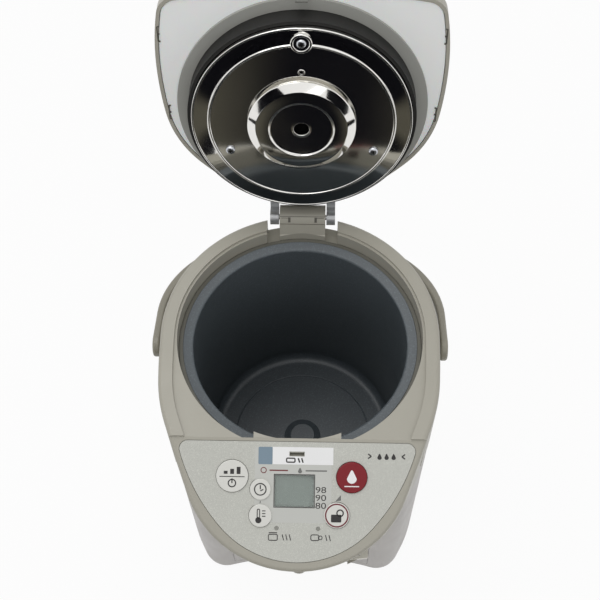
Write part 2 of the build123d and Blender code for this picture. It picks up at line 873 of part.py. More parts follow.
# ---------------------------------------------------------------- heater
with BuildPart() as heater_ring:
    drum(level(heater_z), heater_thickness, heater_outer, heater_inner)

with BuildPart() as thermistor:
    drum(level(heater_z - probe_flange_thickness), probe_flange_thickness, heater_inner + probe_flange_lap)
    drum(level(heater_z), vessel_bottom + boss_rise - heater_gap - heater_z, probe_radius)

# ---------------------------------------------------------------- pump
pump_axis = (0, outlet_y)
post_places = [
    (post_circle * cos(radians(a)), outlet_y + post_circle * sin(radians(a))) for a in (90, 210, 330)
]
with BuildPart() as pump_motor:
    drum(level(base_top + motor_lift), motor_height, motor_radius, centre=pump_axis)
    fillet(pump_motor.edges().group_by(Axis.Z)[0], 1.5)
    drum(level(bracket_z - shaft_depth), shaft_depth, shaft_radius + fit_gap, centre=pump_axis,
         mode=Mode.SUBTRACT)

with BuildPart() as motor_bracket:
    drum(level(bracket_z), bracket_thickness, post_circle + post_radius + bracket_rim, centre=pump_axis)
    drum(level(bracket_z), bracket_thickness, 2 * shaft_radius, centre=pump_axis, mode=Mode.SUBTRACT)
    for place in post_places:
        drum(level(base_top), pump_z - base_top, post_radius, centre=place)

with BuildPart() as magnet_rotor:
    drum(level(magnet_z), magnet_height, magnet_radius, centre=pump_axis)
    drum(level(bracket_z - shaft_depth + 1), magnet_z - bracket_z + shaft_depth, shaft_radius,
         centre=pump_axis)

with BuildPart() as pump_housing:
    drum(level(pump_z), pump_top - pump_z, pump_radius, centre=pump_axis)
    with Locations((delivery_reach / 2, delivery_y, delivery_z)):
        Cylinder(delivery_radius, delivery_reach, rotation=(0, 90, 0))
    drum(level(chamber_z), chamber_height, chamber_radius, centre=pump_axis, mode=Mode.SUBTRACT)
    drum(level(pump_z), chamber_z + chamber_height - pump_z, shaft_radius, centre=pump_axis)
    with Locations((delivery_reach / 2, delivery_y, delivery_z)):
        Cylinder(delivery_bore, delivery_reach + 1, rotation=(0, 90, 0), mode=Mode.SUBTRACT)
    with Locations((0, outlet_y, pump_top)):
        with PolarLocations(pump_radius - pump_wall / 2, 4, start_angle=45):
            Cylinder(pump_screw_radius + fit_gap, 2 * (pump_screw_length - pump_cover_thickness) + 1,
                     mode=Mode.SUBTRACT)

with BuildPart() as pump_impeller:
    impeller_z = chamber_z + impeller_gap
    drum(level(impeller_z), impeller_plate, impeller_radius, centre=pump_axis)
    drum(level(impeller_z), impeller_plate + vane_height, hub_radius, centre=pump_axis)
    with Locations((0, outlet_y, impeller_z + impeller_plate + vane_height / 2)):
        with PolarLocations((impeller_radius + hub_radius / 2) / 2, vane_count):
            Box(impeller_radius - hub_radius / 2, vane_thickness, vane_height)
    drum(level(impeller_z), impeller_radius, impeller_radius, centre=pump_axis, mode=Mode.INTERSECT)
    drum(level(impeller_z), chamber_height, shaft_radius + fit_gap, centre=pump_axis, mode=Mode.SUBTRACT)

with BuildPart() as pump_cover:
    drum(level(pump_top), pump_cover_thickness, pump_radius, centre=pump_axis)
    drum(level(pump_cover_top), spigot_length, spigot_radius, centre=pump_axis)
    drum(level(pump_top), pump_cover_thickness + spigot_length, outlet_bore, centre=pump_axis,
         mode=Mode.SUBTRACT)
    with Locations((0, outlet_y, pump_top)):
        with PolarLocations(pump_radius - pump_wall / 2, 4, start_angle=45):
            Cylinder(pump_screw_radius + fit_gap, 4 * pump_cover_thickness, mode=Mode.SUBTRACT)
    with Locations((0, outlet_y, pump_top)):
        Box(2 * outlet_bore + 2, 2 * shaft_radius, 2, mode=Mode.ADD)
    block((-pump_radius, outlet_y - pump_radius, pump_top - 2), (pump_radius, outlet_y + pump_radius, pump_top),
          mode=Mode.SUBTRACT)

with BuildPart() as pump_screws:
    with Locations((0, outlet_y, pump_cover_top)):
        with PolarLocations(pump_radius - pump_wall / 2, 4, start_angle=45):
            Cylinder(pump_screw_head, 1.4, align=(Align.CENTER, Align.CENTER, Align.MIN))
            Cylinder(pump_screw_radius, pump_screw_length, align=(Align.CENTER, Align.CENTER, Align.MAX))

# ---------------------------------------------------------------- hoses and gauge tube
with BuildPart() as suction_hose:
    drum(level(pump_cover_top + spigot_length - hose_overlap),
         vessel_bottom - pump_cover_top - 2 * spigot_length - 2 + 2 * hose_overlap,
         spigot_radius + fit_gap + hose_wall, spigot_radius + fit_gap, centre=pump_axis)

with BuildPart() as gauge_tube:
    drum(level(riser_z), riser_top - riser_z, delivery_radius, delivery_bore, centre=(riser_x, delivery_y))

with BuildPart() as delivery_hose:
    add(hose([
        (delivery_reach - hose_overlap - 3, delivery_y, delivery_z),
        (riser_x, delivery_y, delivery_z),
        (riser_x, delivery_y, riser_z + hose_overlap + 3),
    ], delivery_hose_radius))

nozzle_top = beak_bottom + spout_stem + spout_spigot
with BuildPart() as outlet_tube:
    add(hose([
        (riser_x, delivery_y, riser_top - hose_overlap - 3),
        (riser_x, delivery_y, outlet_level),
        (spout_x, spout_y, outlet_level),
        (spout_x, spout_y, nozzle_top - spout_spigot + 1),
    ], delivery_hose_radius))

with BuildPart() as spout_nozzle:
    turned(Plane((spout_x, spout_y, 0)), [
        (0, beak_bottom - spout_drop),
        (spout_tip_radius, beak_bottom - spout_drop),
        (spout_radius, beak_bottom),
        (spout_stem_radius, beak_bottom),
        (spout_stem_radius, beak_bottom + spout_stem),
        (delivery_radius, beak_bottom + spout_stem),
        (delivery_radius, nozzle_top),
        (0, nozzle_top),
    ])
    drum(level(beak_bottom - spout_drop), nozzle_top, delivery_bore, centre=(spout_x, spout_y),
         mode=Mode.SUBTRACT)

# ---------------------------------------------------------------- head
wall_ring_outer = recess_radius + recess_wall
hollow_top = ledge_z - ledge_wall
ring_front_top = slope_height(-wall_ring_outer) - beak_skin / cos(radians(panel_slope)) - seam_gap
lip_inset = casing_wall + seam_gap
ridge_plane = Plane(origin=(0, ridge_y, 0), z_dir=(0, 1, 0))
with BuildPart() as recess_ring:
    drum(level(shelf_z), hollow_top + ledge_wall / 2 - shelf_z, wall_ring_outer, recess_radius)
    split(bisect_by=ridge_plane, keep=Keep.TOP)
with BuildPart() as notch_box:
    notch_low = notch_z - notch_wall
    extrude(head_outline(level(notch_low), head_wall / 2), amount=hollow_top + ledge_wall / 2 - notch_low)
    drum(level(notch_low), head_height, recess_radius + recess_wall / 2, mode=Mode.SUBTRACT)
    block((-notch_half - notch_wall, 0, notch_low), (notch_half + notch_wall, 2 * body_radius, band_z),
          Mode.INTERSECT)

with BuildPart() as top_frame:
    extrude(head_outline(level(head_bottom)), amount=head_height)
    fillet(top_frame.edges().group_by(Axis.Z)[-1], head_round)
    extrude(head_outline(level(ledge_z), crease_inset), amount=crease_step, mode=Mode.SUBTRACT)
    extrude(head_outline(level(head_bottom), head_wall), amount=hollow_top - head_bottom, mode=Mode.SUBTRACT)
    extrude(casing_outline(level(head_bottom - lip_height), lip_inset), amount=lip_height + lip_wall)
    extrude(head_outline(level(head_bottom), head_wall / 2), amount=lip_wall)
    extrude(casing_outline(level(head_bottom - lip_height), lip_inset + lip_wall),
            amount=lip_height + lip_wall, mode=Mode.SUBTRACT)
    split(bisect_by=ridge_plane, keep=Keep.TOP)
    drum(level(shelf_z - shelf_thickness), ring_front_top - shelf_z + shelf_thickness,
         wall_ring_outer, recess_radius)
    drum(level(shelf_z - shelf_thickness), shelf_thickness, wall_ring_outer, jacket_radius + shelf_gap)
    add(recess_ring.part)
    add(notch_box.part)
    drum(level(shelf_z), head_height, recess_radius, mode=Mode.SUBTRACT)
    block((-notch_half, 0, notch_z), (notch_half, 2 * body_radius, 2 * band_z), Mode.SUBTRACT)
    crosswise(Plane.XY, pivot_y, pivot_z, pivot_radius + fit_gap, body_radius + 1, body_radius - 2 * head_wall,
              mode=Mode.SUBTRACT)

with BuildPart() as tab_wedges:
    block((-tab_half, ridge_y - head_wall, ledge_z - tab_sink - tab_thickness),
          (tab_half, ridge_y + 2 * head_wall, ledge_z - tab_sink))
    drum(level(0), 2 * band_z, tab_radius, mode=Mode.SUBTRACT)
    split(bisect_by=panel_plane.offset(-tab_sink), keep=Keep.BOTTOM)
with BuildPart() as lug_block:
    add(beak_form(-lug_rise, 0))
    block((lug_x - lug_width / 2, -2 * body_radius, beak_bottom),
          (lug_x + lug_width / 2, 1.4 * ridge_y, beak_bottom + lug_height), Mode.INTERSECT)
    add(beak_form(head_wall / 2, 0), mode=Mode.SUBTRACT)

with BuildPart() as beak_housing:
    add(beak_form(0, 0))
    slope_face = beak_housing.faces().sort_by(Axis(panel_plane.origin, panel_plane.z_dir))[-1]
    rim_edges = slope_face.edges().filter_by(lambda edge: edge.center().Y < ridge_y - 0.1)
    fillet(rim_edges, beak_round)
    add(beak_form(head_wall, beak_skin), mode=Mode.SUBTRACT)
    add(tab_wedges.part)
    add(lug_block.part)
    extrude(panel_outline(panel_plane.offset(-panel_sink - panel_thickness)), amount=2 * beak_skin,
            mode=Mode.SUBTRACT)
    panel_openings()
    for across, down in board_posts:
        drum(panel_plane.offset(board_h), board_gap + 0.3, board_post_radius, centre=(across, -down))
    catch_slot()

with BuildPart() as beak_underside:
    extrude(head_outline(level(beak_bottom), head_wall + fit_gap, beak_foot_angle, beak_foot_length),
            amount=beak_floor)
    block((-2 * body_radius, -2 * body_radius, 0), (2 * body_radius, ridge_y - 3, band_z), Mode.INTERSECT)
    drum(level(beak_bottom), beak_floor, spout_stem_radius + fit_gap, centre=(spout_x, spout_y),
         mode=Mode.SUBTRACT)

# ---------------------------------------------------------------- control panel
with BuildPart() as control_panel:
    extrude(panel_outline(panel_plane.offset(-panel_sink - panel_thickness), panel_gap),
            amount=panel_thickness)
    panel_openings()
    catch_slot()

pane_gap = 0.1
pane_low = -beak_skin - pane_gap - button_flange
with BuildPart() as display_window:
    slab(panel_plane.offset(pane_low), -panel_sink - pane_low, window_width - 2 * pane_gap,
         window_length - 2 * pane_gap, (window_x, -window_s))
    slab(panel_plane.offset(pane_low), button_flange, window_width + 2 * lcd_margin,
         window_length + 2 * lcd_margin, (window_x, -window_s))

lcd_low = pane_low - pane_gap - lcd_thickness
lcd_width = window_width + 2 * lcd_margin
lcd_length = window_length + 2 * lcd_margin
with BuildPart() as display_lcd:
    slab(panel_plane.offset(lcd_low), lcd_thickness, lcd_width, lcd_length, (window_x, -window_s))

with BuildPart() as lcd_holder:
    slab(panel_plane.offset(board_h), lcd_low + lcd_thickness / 2 - board_h, lcd_width + 2 * holder_wall,
         lcd_length + 2 * holder_wall, (window_x, -window_s))
    slab(panel_plane.offset(lcd_low), lcd_thickness, lcd_width + 2 * fit_gap, lcd_length + 2 * fit_gap,
         (window_x, -window_s), Mode.SUBTRACT)
    slab(panel_plane.offset(board_h), board_gap, lcd_width - 2 * holder_wall, lcd_length - 2 * holder_wall,
         (window_x, -window_s), Mode.SUBTRACT)

with BuildPart() as control_board:
    slab(panel_plane.offset(board_h - board_thickness), board_thickness, board_width, board_length,
         (0, -board_centre))

with BuildPart() as tact_switches:
    for across, down, radius in button_places:
        slab(panel_plane.offset(board_h), switch_height - 0.8, switch_size, switch_size, (across, -down))
        drum(panel_plane.offset(board_h), switch_height, stem_radius - 0.3, centre=(across, -down))

with BuildPart() as indicator_lights:
    for across, down in light_centres:
        slab(panel_plane.offset(board_h), lamp_height, lamp_size, lamp_size, (across, -down))
        drum(panel_plane.offset(board_h), -panel_sink - board_h, light_radius, centre=(across, -down))

with BuildPart() as button_mode:
    push_button(*mode_button)
with BuildPart() as button_timer:
    push_button(*timer_button)
with BuildPart() as button_temperature:
    push_button(*temperature_button)
with BuildPart() as button_dispense:
    push_button(*dispense_button)
with BuildPart() as button_unlock:
    push_button(*unlock_button)

# ---------------------------------------------------------------- handle
def handle_loop(plane, inset, shorter):
    """The outline of the carrying handle, seen along its own normal."""
    reach_x = handle_outer - handle_bend * (1 - cos(radians(handle_bend_turn)))
    arch_radius = reach_x / cos(radians(handle_bend_turn))
    with BuildSketch(plane) as loop:
        with BuildLine():
            tangent_run(
                (handle_outer - inset, -handle_front), 90, -inset,
                (handle_front + handle_straight - shorter, 0), (handle_bend, handle_bend_turn),
                (arch_radius, 90 - handle_bend_turn),
            )
            Line((handle_outer - inset, -handle_front), (0, -handle_front))
            mirror(about=Plane.YZ)
        make_face()
    return loop.sketch


with BuildPart() as handle:
    extrude(handle_loop(handle_plane.offset(-handle_height / 2), 0, 0), amount=handle_height)
    extrude(handle_loop(handle_plane.offset(-handle_height / 2), handle_thickness, handle_grip_extra),
            amount=handle_height, mode=Mode.SUBTRACT)
    ends = handle.edges().filter_by(Axis.X).filter_by(
        lambda edge: edge.length < 2 * handle_thickness)
    fillet(ends, handle_height / 2 - 0.1)
    long_edges = handle.edges().filter_by(lambda edge: edge.length > 2 * handle_thickness)
    fillet(long_edges, handle_round)
    crosswise(Plane.XY, pivot_y, pivot_z, pivot_radius + fit_gap, handle_inner + pivot_seat, body_radius,
              mode=Mode.SUBTRACT)

with BuildPart() as handle_pivots:
    pivot_root = body_radius - head_wall - seam_gap
    crosswise(Plane.XY, pivot_y, pivot_z, pivot_radius, handle_inner + pivot_seat - fit_gap, pivot_root - 1)
    crosswise(Plane.XY, pivot_y, pivot_z, pivot_flange_radius, pivot_root, pivot_root - pivot_flange_thickness)

# ---------------------------------------------------------------- hinge
with BuildPart() as hinge_block:
    side_plate(Plane.XY, [
        (recess_radius - 5, notch_z),
        (recess_radius - 5, notch_z + block_lean - 2),
        (recess_radius - 0.5, notch_z + block_lean),
        (recess_radius + block_setback, band_z),
        (hinge_y - block_step, band_z),
        (hinge_y, hinge_z),
        (hinge_y + barrel_radius * sin(radians(60)), hinge_z - barrel_radius * cos(radians(60))),
        (body_radius, notch_z),
    ], block_half)
    crosswise(Plane.XY, hinge_y, hinge_z, barrel_radius, block_half)
    drum(level(notch_z), head_height, recess_radius, mode=Mode.SUBTRACT)
    crosswise(Plane.XY, hinge_y, hinge_z, pin_radius + fit_gap, block_half + 1, mode=Mode.SUBTRACT)

with BuildPart() as hinge_pin:
    crosswise(Plane.XY, hinge_y, hinge_z, pin_radius, arm_outer)

liner_notch_y = recess_radius + 0.5
with BuildPart() as lid_arms:
    side_plate(lid_plane, [
        (liner_notch_y - arm_foot, liner_top),
        (liner_notch_y - arm_foot, arm_top),
        (hinge_y - 1.7, arm_top),
        (hinge_y + 0.8 * eye_radius, hinge_z + 0.6 * eye_radius),
        (hinge_y, hinge_z),
        (hinge_y - 0.95 * eye_radius, hinge_z + 0.3 * eye_radius),
        (hinge_y - eye_radius, liner_z),
        (liner_notch_y + seam_gap, liner_z),
        (liner_notch_y + seam_gap, liner_top),
    ], arm_outer, arm_inner)
    crosswise(lid_plane, hinge_y, hinge_z, eye_radius, arm_outer, arm_inner)
    crosswise(lid_plane, hinge_y, hinge_z, pin_radius + fit_gap, arm_outer + 1, mode=Mode.SUBTRACT)

# ---------------------------------------------------------------- lid
pocket_low = lid_top - lever_thickness - seam_gap
pocket_half = lever_half + pocket_gap
pocket_rear = lever_rear + pocket_gap
pocket_front = lever_rear - lever_length - finger_gap
lever_pin = (lever_rear - lever_thickness / 2, lid_top - lever_thickness / 2)
boss_places = [(60.0, -48.0), (-60.0, -48.0), (62.0, 40.0), (-62.0, 40.0)]
with BuildPart() as lid_hollow:
    extrude(lid_outline(lid_plane.offset(lid_bottom), lid_wall), amount=lid_height - lid_wall)
    fillet(lid_hollow.edges().group_by(lid_axis)[-1], lid_edge_round - lid_wall)
    block((-pocket_half - pocket_wall, pocket_front - pocket_wall, pocket_low - pocket_wall),
          (pocket_half + pocket_wall, pocket_rear + pocket_wall, lid_top), Mode.SUBTRACT, lid_plane)
    for place in boss_places:
        drum(lid_plane.offset(liner_top), lid_height, lid_post_radius, centre=place, mode=Mode.SUBTRACT)

with BuildPart() as lid_cover:
    extrude(lid_outline(lid_plane.offset(lid_bottom)), amount=lid_height)
    fillet(lid_cover.edges().group_by(lid_axis)[-1], lid_edge_round)
    add(lid_hollow.part, mode=Mode.SUBTRACT)
    drum(lid_plane.offset(lid_bottom - 1), liner_z + fit_gap - lid_bottom + 1,
         recess_radius - ring_gap + seam_gap, mode=Mode.SUBTRACT)
    block((-pocket_half, pocket_front, pocket_low), (pocket_half, pocket_rear, lid_top + 1), Mode.SUBTRACT,
          lid_plane)
    crosswise(lid_plane, *lever_pin, lever_pin_radius + fit_gap, lever_half + lever_pin_length + seam_gap,
              mode=Mode.SUBTRACT)
    drum(lid_plane.offset(liner_top), lid_height, vent_radius + fit_gap, centre=(0, vent_y),
         mode=Mode.SUBTRACT)
    block((-lid_notch_half, liner_notch_y - arm_slot, lid_bottom - 1),
          (lid_notch_half, 2 * lid_back, arm_top + liner_gap), Mode.SUBTRACT, lid_plane)

slide_half = hook_half + 2
channel_z = rim_z + bead_a_rise + 1.8
with BuildPart() as lid_liner:
    extrude(lid_outline(lid_plane.offset(liner_z), lid_wall + liner_gap), amount=liner_thickness)
    block((-lid_notch_half, liner_notch_y, liner_z), (lid_notch_half, 2 * lid_back, liner_top),
          Mode.SUBTRACT, lid_plane)
    block((-hook_half - seam_gap, -2 * lid_back, liner_z),
          (hook_half + seam_gap, hook_y + hook_thickness + hook_travel, liner_top),
          Mode.SUBTRACT, lid_plane)
    for turn in (-45, -135):
        block((liner_bevel, -lid_back, liner_z), (2 * liner_bevel, lid_back, liner_top),
              Mode.SUBTRACT, lid_plane.rotated((0, 0, turn)))
    drum(lid_plane.offset(liner_z), liner_thickness, vent_radius / 2, centre=(0, vent_y),
         mode=Mode.SUBTRACT)
    for place in lid_screw_places:
        low = channel_z + plate_sheet if place == lid_screw_places[0] else plate_top
        drum(lid_plane.offset(low), liner_z - low, lid_post_radius, centre=place)
        drum(lid_plane.offset(low), plate_z + lid_screw_length + 1 - low, lid_screw_radius + fit_gap,
             centre=place, mode=Mode.SUBTRACT)
    for sign in (-1, 1):
        near = sign * (slide_half + seam_gap)
        far = sign * (slide_half + seam_gap + guide_wall)
        block((min(near, far), hook_y, liner_top),
              (max(near, far), hook_y + slide_length, liner_top + slide_thickness + 2 * seam_gap),
              plane=lid_plane)

with BuildPart() as lid_ring:
    drum(lid_plane.offset(liner_z - ring_thickness), ring_thickness, recess_radius - ring_gap,
         gasket_outer + 0.2)

gasket_z = rim_z - (rim_radius - gasket_outer) * rim_slope + gasket_clearance
with BuildPart() as lid_gasket:
    drum(lid_plane.offset(gasket_z), liner_z - gasket_z, gasket_outer, gasket_outer - gasket_wall)

with BuildPart() as inner_plate:
    bead_out = bead_a_radius + 0.5
    bead_a_z = rim_z + bead_a_rise
    turned(lid_plane, [
        (0, plate_z),
        (bead_b_radius - 0.8, plate_z),
        (bead_b_radius - 0.3, plate_z - bead_b_depth),
        (bead_b_radius + 0.3, plate_z - bead_b_depth),
        (bead_b_radius + 0.9, plate_z + 0.4),
        (bead_b_radius + 3.4, channel_z - 0.8),
        (bead_a_radius - 1.1, channel_z),
        (bead_a_radius - 0.6, bead_a_z + 0.5),
        (bead_a_radius - 0.2, bead_a_z),
        (bead_a_radius + 0.1, bead_a_z),
        (bead_out, bead_a_z + 0.6),
        (bead_out, rim_z + plate_rim_rise),
        (bead_out - plate_sheet, rim_z + plate_rim_rise),
        (bead_out - plate_sheet, channel_z + plate_sheet),
        (bead_b_radius + 2.7, channel_z),
        (bead_b_radius - 0.2, plate_top),
        (0, plate_top),
    ])
    boss_x, boss_y = lid_screw_places[0]
    drum(lid_plane.offset(plate_z - 2 * bead_b_depth), 2 * bead_b_depth, plate_boss_radius,
         centre=(boss_x, boss_y), mode=Mode.SUBTRACT)
    drum(lid_plane.offset(plate_z), channel_z + plate_sheet - plate_z, plate_boss_radius,
         centre=(boss_x, boss_y))
    for place in lid_screw_places:
        drum(lid_plane.offset(plate_z), channel_z, lid_screw_radius + 2 * fit_gap, centre=place,
             mode=Mode.SUBTRACT)
    drum(lid_plane.offset(plate_z), plate_sheet, seat_radius, mode=Mode.SUBTRACT)
    drum(lid_plane.offset(plate_z), plate_sheet, pin_hole_radius, centre=(0, pin_hole_y),
         mode=Mode.SUBTRACT)

with BuildPart() as steam_cap:
    flat_z = plate_z - cap_drop
    well_z = flat_z + cap_well_depth
    turned(lid_plane, [
        (cap_hole, well_z),
        (cap_well - 0.5, well_z),
        (cap_well + 0.5, flat_z),
        (cap_flat, flat_z),
        (cap_outer, plate_z),
        (cap_outer - 2 * cap_sheet, plate_z),
        (cap_flat - cap_sheet / 2, flat_z + cap_sheet),
        (cap_well + 0.5, flat_z + cap_sheet),
        (cap_well - 0.5, well_z + cap_sheet),
        (cap_hole, well_z + cap_sheet),
    ])

with BuildPart() as lid_screws:
    for place in lid_screw_places:
        drum(lid_plane.offset(plate_z - lid_screw_head_height), lid_screw_head_height, lid_screw_head,
             centre=place)
        drum(lid_plane.offset(plate_z), lid_screw_length, lid_screw_radius, centre=place)

seat_height = (ball_radius ** 2 - seat_radius ** 2) ** 0.5
ball_z = plate_top + cage_base + seat_height + pane_gap + ball_travel
cage_top = ball_z + ball_radius + pane_gap
with BuildPart(lid_plane) as ball_cage:
    drum(lid_plane.offset(plate_top), cage_top + cage_base - plate_top, ball_radius + ball_clearance + cage_wall)
    drum(lid_plane.offset(plate_top + cage_base), cage_top - plate_top - cage_base,
         ball_radius + ball_clearance, mode=Mode.SUBTRACT)
    drum(lid_plane.offset(plate_top), cage_base, seat_radius, mode=Mode.SUBTRACT)
    with Locations((0, 0, cage_top)):
        with PolarLocations(ball_radius / 2, 3):
            Cylinder(ball_radius / 5, 4 * cage_base, mode=Mode.SUBTRACT)

with BuildPart(lid_plane) as tip_over_ball:
    with Locations((0, 0, ball_z)):
        Sphere(ball_radius)

with BuildPart(lid_plane) as steam_vent:
    drum(lid_plane.offset(liner_top), lid_top - liner_top, vent_radius, centre=(0, vent_y))
    drum(lid_plane.offset(lid_top), vent_rise, vent_radius + vent_flange, centre=(0, vent_y))
    fillet(steam_vent.edges().group_by(lid_axis)[-1], vent_rise / 2)
    drum(lid_plane.offset(liner_top), lid_top - liner_top, vent_radius - vent_wall, centre=(0, vent_y),
         mode=Mode.SUBTRACT)
    with Locations((0, vent_y, lid_top)):
        with GridLocations(2 * vent_radius / (vent_slots + 1), 0, vent_slots, 1):
            Box(vent_wall, vent_radius, 4 * vent_rise, mode=Mode.SUBTRACT)

with BuildPart() as latch_lever:
    block((-lever_half, lever_rear - lever_length, lid_top - lever_thickness),
          (lever_half, lever_rear, lid_top), plane=lid_plane)
    fillet(latch_lever.edges().filter_by(lid_axis).group_by(lid_depth)[0], 2)
    fillet(latch_lever.edges().filter_by(Axis.X).group_by(lid_depth)[-1], lever_thickness / 2 - fit_gap)
    crosswise(lid_plane, *lever_pin, lever_pin_radius, lever_half + lever_pin_length)

with BuildPart() as latch_hook:
    tip_z = slope_height(hook_y) - hook_reach
    slide_low = liner_top + seam_gap
    block((-hook_half, hook_y - hook_thickness / 2, tip_z),
          (hook_half, hook_y + hook_thickness / 2, slide_low + slide_thickness), plane=lid_plane)
    block((-slide_half, hook_y - hook_thickness / 2, slide_low),
          (slide_half, hook_y + slide_length, slide_low + slide_thickness), plane=lid_plane)

# ---------------------------------------------------------------- export
pieces = {
    "foot_ring": foot_ring,
    "base_plate": base_plate,
    "base_screws": base_screws,
    "power_board": power_board,
    "board_components": board_components,
    "inlet_socket": inlet_socket,
    "inlet_pins": inlet_pins,
    "body_casing": body_casing,
    "front_cover": front_cover,
    "gauge_window": gauge_window,
    "gauge_tube": gauge_tube,
    "vessel_liner": vessel_liner,
    "vessel_jacket": vessel_jacket,
    "vessel_seal": vessel_seal,
    "suction_strainer": suction_strainer,
    "heater_ring": heater_ring,
    "thermistor": thermistor,
    "pump_motor": pump_motor,
    "motor_bracket": motor_bracket,
    "magnet_rotor": magnet_rotor,
    "pump_housing": pump_housing,
    "pump_impeller": pump_impeller,
    "pump_cover": pump_cover,
    "pump_screws": pump_screws,
    "suction_hose": suction_hose,
    "delivery_hose": delivery_hose,
    "outlet_tube": outlet_tube,
    "spout_nozzle": spout_nozzle,
    "top_frame": top_frame,
    "beak_housing": beak_housing,
    "beak_underside": beak_underside,
    "control_panel": control_panel,
    "display_window": display_window,
    "display_lcd": display_lcd,
    "lcd_holder": lcd_holder,
    "control_board": control_board,
    "tact_switches": tact_switches,
    "indicator_lights": indicator_lights,
    "button_mode": button_mode,
    "button_timer": button_timer,
    "button_temperature": button_temperature,
    "button_dispense": button_dispense,
    "button_unlock": button_unlock,
    "handle": handle,
    "handle_pivots": handle_pivots,
    "hinge_block": hinge_block,
    "hinge_pin": hinge_pin,
    "lid_arms": lid_arms,
    "lid_cover": lid_cover,
    "lid_liner": lid_liner,
    "lid_ring": lid_ring,
    "lid_gasket": lid_gasket,
    "inner_plate": inner_plate,
    "steam_cap": steam_cap,
    "lid_screws": lid_screws,
    "ball_cage": ball_cage,
    "tip_over_ball": tip_over_ball,
    "steam_vent": steam_vent,
    "latch_lever": latch_lever,
    "latch_hook": latch_hook,
}
os.makedirs("parts", exist_ok=True)
for name, piece in pieces.items():
    piece.part.label = name
    export_step(piece.part, f"parts/{name}.step")
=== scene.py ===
from math import atan2, cos, pi, radians, sin

import bmesh
import bpy
from bpy.props import FloatProperty, FloatVectorProperty, PointerProperty
from mathutils import Matrix, Vector


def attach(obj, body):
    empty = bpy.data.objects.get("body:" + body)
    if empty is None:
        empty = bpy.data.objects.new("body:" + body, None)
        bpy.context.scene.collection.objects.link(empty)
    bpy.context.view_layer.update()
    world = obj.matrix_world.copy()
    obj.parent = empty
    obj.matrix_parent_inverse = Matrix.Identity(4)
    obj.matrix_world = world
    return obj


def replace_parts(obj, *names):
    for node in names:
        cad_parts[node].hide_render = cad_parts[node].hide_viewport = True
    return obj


bl_info = {
    "name": "Thermo Pot Finish",
    "version": (1, 0, 0),
    "blender": (4, 5, 0),
    "location": "View3D > Sidebar > Thermo Pot",
    "description": "Materials and fine details of an electric thermo pot",
    "category": "Object",
}

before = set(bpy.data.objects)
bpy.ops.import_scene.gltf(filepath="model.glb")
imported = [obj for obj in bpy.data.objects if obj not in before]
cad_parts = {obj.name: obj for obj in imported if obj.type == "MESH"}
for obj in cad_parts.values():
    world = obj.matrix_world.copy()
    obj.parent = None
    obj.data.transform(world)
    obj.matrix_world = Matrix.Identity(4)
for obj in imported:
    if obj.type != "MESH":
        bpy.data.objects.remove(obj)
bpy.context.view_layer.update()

# Places are in millimetres, and turns in degrees.
MILLIMETRE = 0.001
CLOSE = 0.0004  # points nearer than this are one
SHARP = 32  # faces that meet at more than this show an edge
DISC_SIDES = 48

# The control panel's frame has X across and Y up the slope from the ridge.
PANEL = Matrix.Translation((0, -79.5, 272)) @ Matrix.Rotation(radians(25), 4, "X")
SHEET = -0.2  # height of the sheet's face
KEY_TOP = 1.2  # height of the keys' faces
SUNK = 0.01  # how far a print reaches into its surface
WINDOW = (-1.5, -35.7, 27.0, 21.6)  # middle, width and height
SLOT = (0.0, -10.6, 10.6, 3.4)
TINTED = (-28.6, -57.1, 23.7, -6.0)  # left, low, right and high edges
BAND = (-16.6, -17.8, 24.8, -6.0)
NUMBERS = (13.0, -47.4, 20.2, -32.7)
KEYS = {
    "mode_key": (-44.0, -26.1),
    "timer_key": (-24.6, -34.8),
    "temperature_key": (-24.4, -52.6),
    "dispense_key": (37.5, -25.9),
    "unlock_key": (27.6, -51.6),
}
UNLOCK_RADIUS = 8.8

# The hinge block and its barrel, whose axis the lid turns about.
HINGE = Vector((0, 100.7, 270.1))
BARREL = 9.2
BLOCK_HALF = 17.2
CATCH = 9.9  # the catches' distance from the middle

# The lid's frame has the numbers of the closed lid.
LID_TURN = Matrix.Rotation(radians(-104.5), 4, "X")
LID = Matrix.Translation(HINGE) @ LID_TURN @ Matrix.Translation(-HINGE)
LID_EDGE = 274.4
PLATE = 254.8  # height of the polished plate's face
CHANNEL = 263.4  # height of the channel's floor, where the first screw's boss ends
FLANGE = 269.0  # height at which the plate and the screws end
SCREWS = ((0.0, -65.4), (50.0, 23.0), (-50.0, 23.0))
HEAD_FOOT = PLATE - 0.25  # height at which a screw's head meets the plate
PIN_HOLE = (0, -42.7)
CLIPS = ((95.6, -64.0, -52.5), (93.4, 0.2, 11.6))  # distance from the middle, front and back

# Profiles of turned pieces, as radius and height.
PLATE_FACE = (
    (3.4, PLATE), (62.8, PLATE), (63.2, 254.15), (64.2, 254.15), (64.7, 255.0), (74.5, 256.2),
    (74.9, 255.7), (75.8, 255.7), (76.1, 256.4), (76.1, FLANGE),
)
PLATE_BACK = ((75.3, FLANGE), (75.3, 257.4), (64.3, PLATE + 1.2), (3.4, PLATE + 0.8))
BOSS = ((5.2, 253.9), (5.7, 253.5), (6.8, 253.5), (7.3, 254.0), (7.3, CHANNEL))
HOLE_RIM = ((1.1, PLATE + 0.2), (1.1, 254.35), (2.2, 254.35), (2.5, PLATE + 0.2))
CAP = (
    (5.0, 250.4), (5.4, 249.1), (6.0, 249.1), (6.8, 249.2), (21.0, 249.2), (21.8, 249.0),
    (22.6, 247.9), (23.4, 247.9), (31.3, 247.9), (37.0, 251.3), (37.3, 251.7), (34.4, 252.7),
    (34.4, 254.75),
)
CAP_FOOT = (5.0, 254.75)
SCREW_HEAD = ((3.3, HEAD_FOOT), (3.25, PLATE - 1.1), (2.3, PLATE - 2.0), (0.6, PLATE - 2.05))

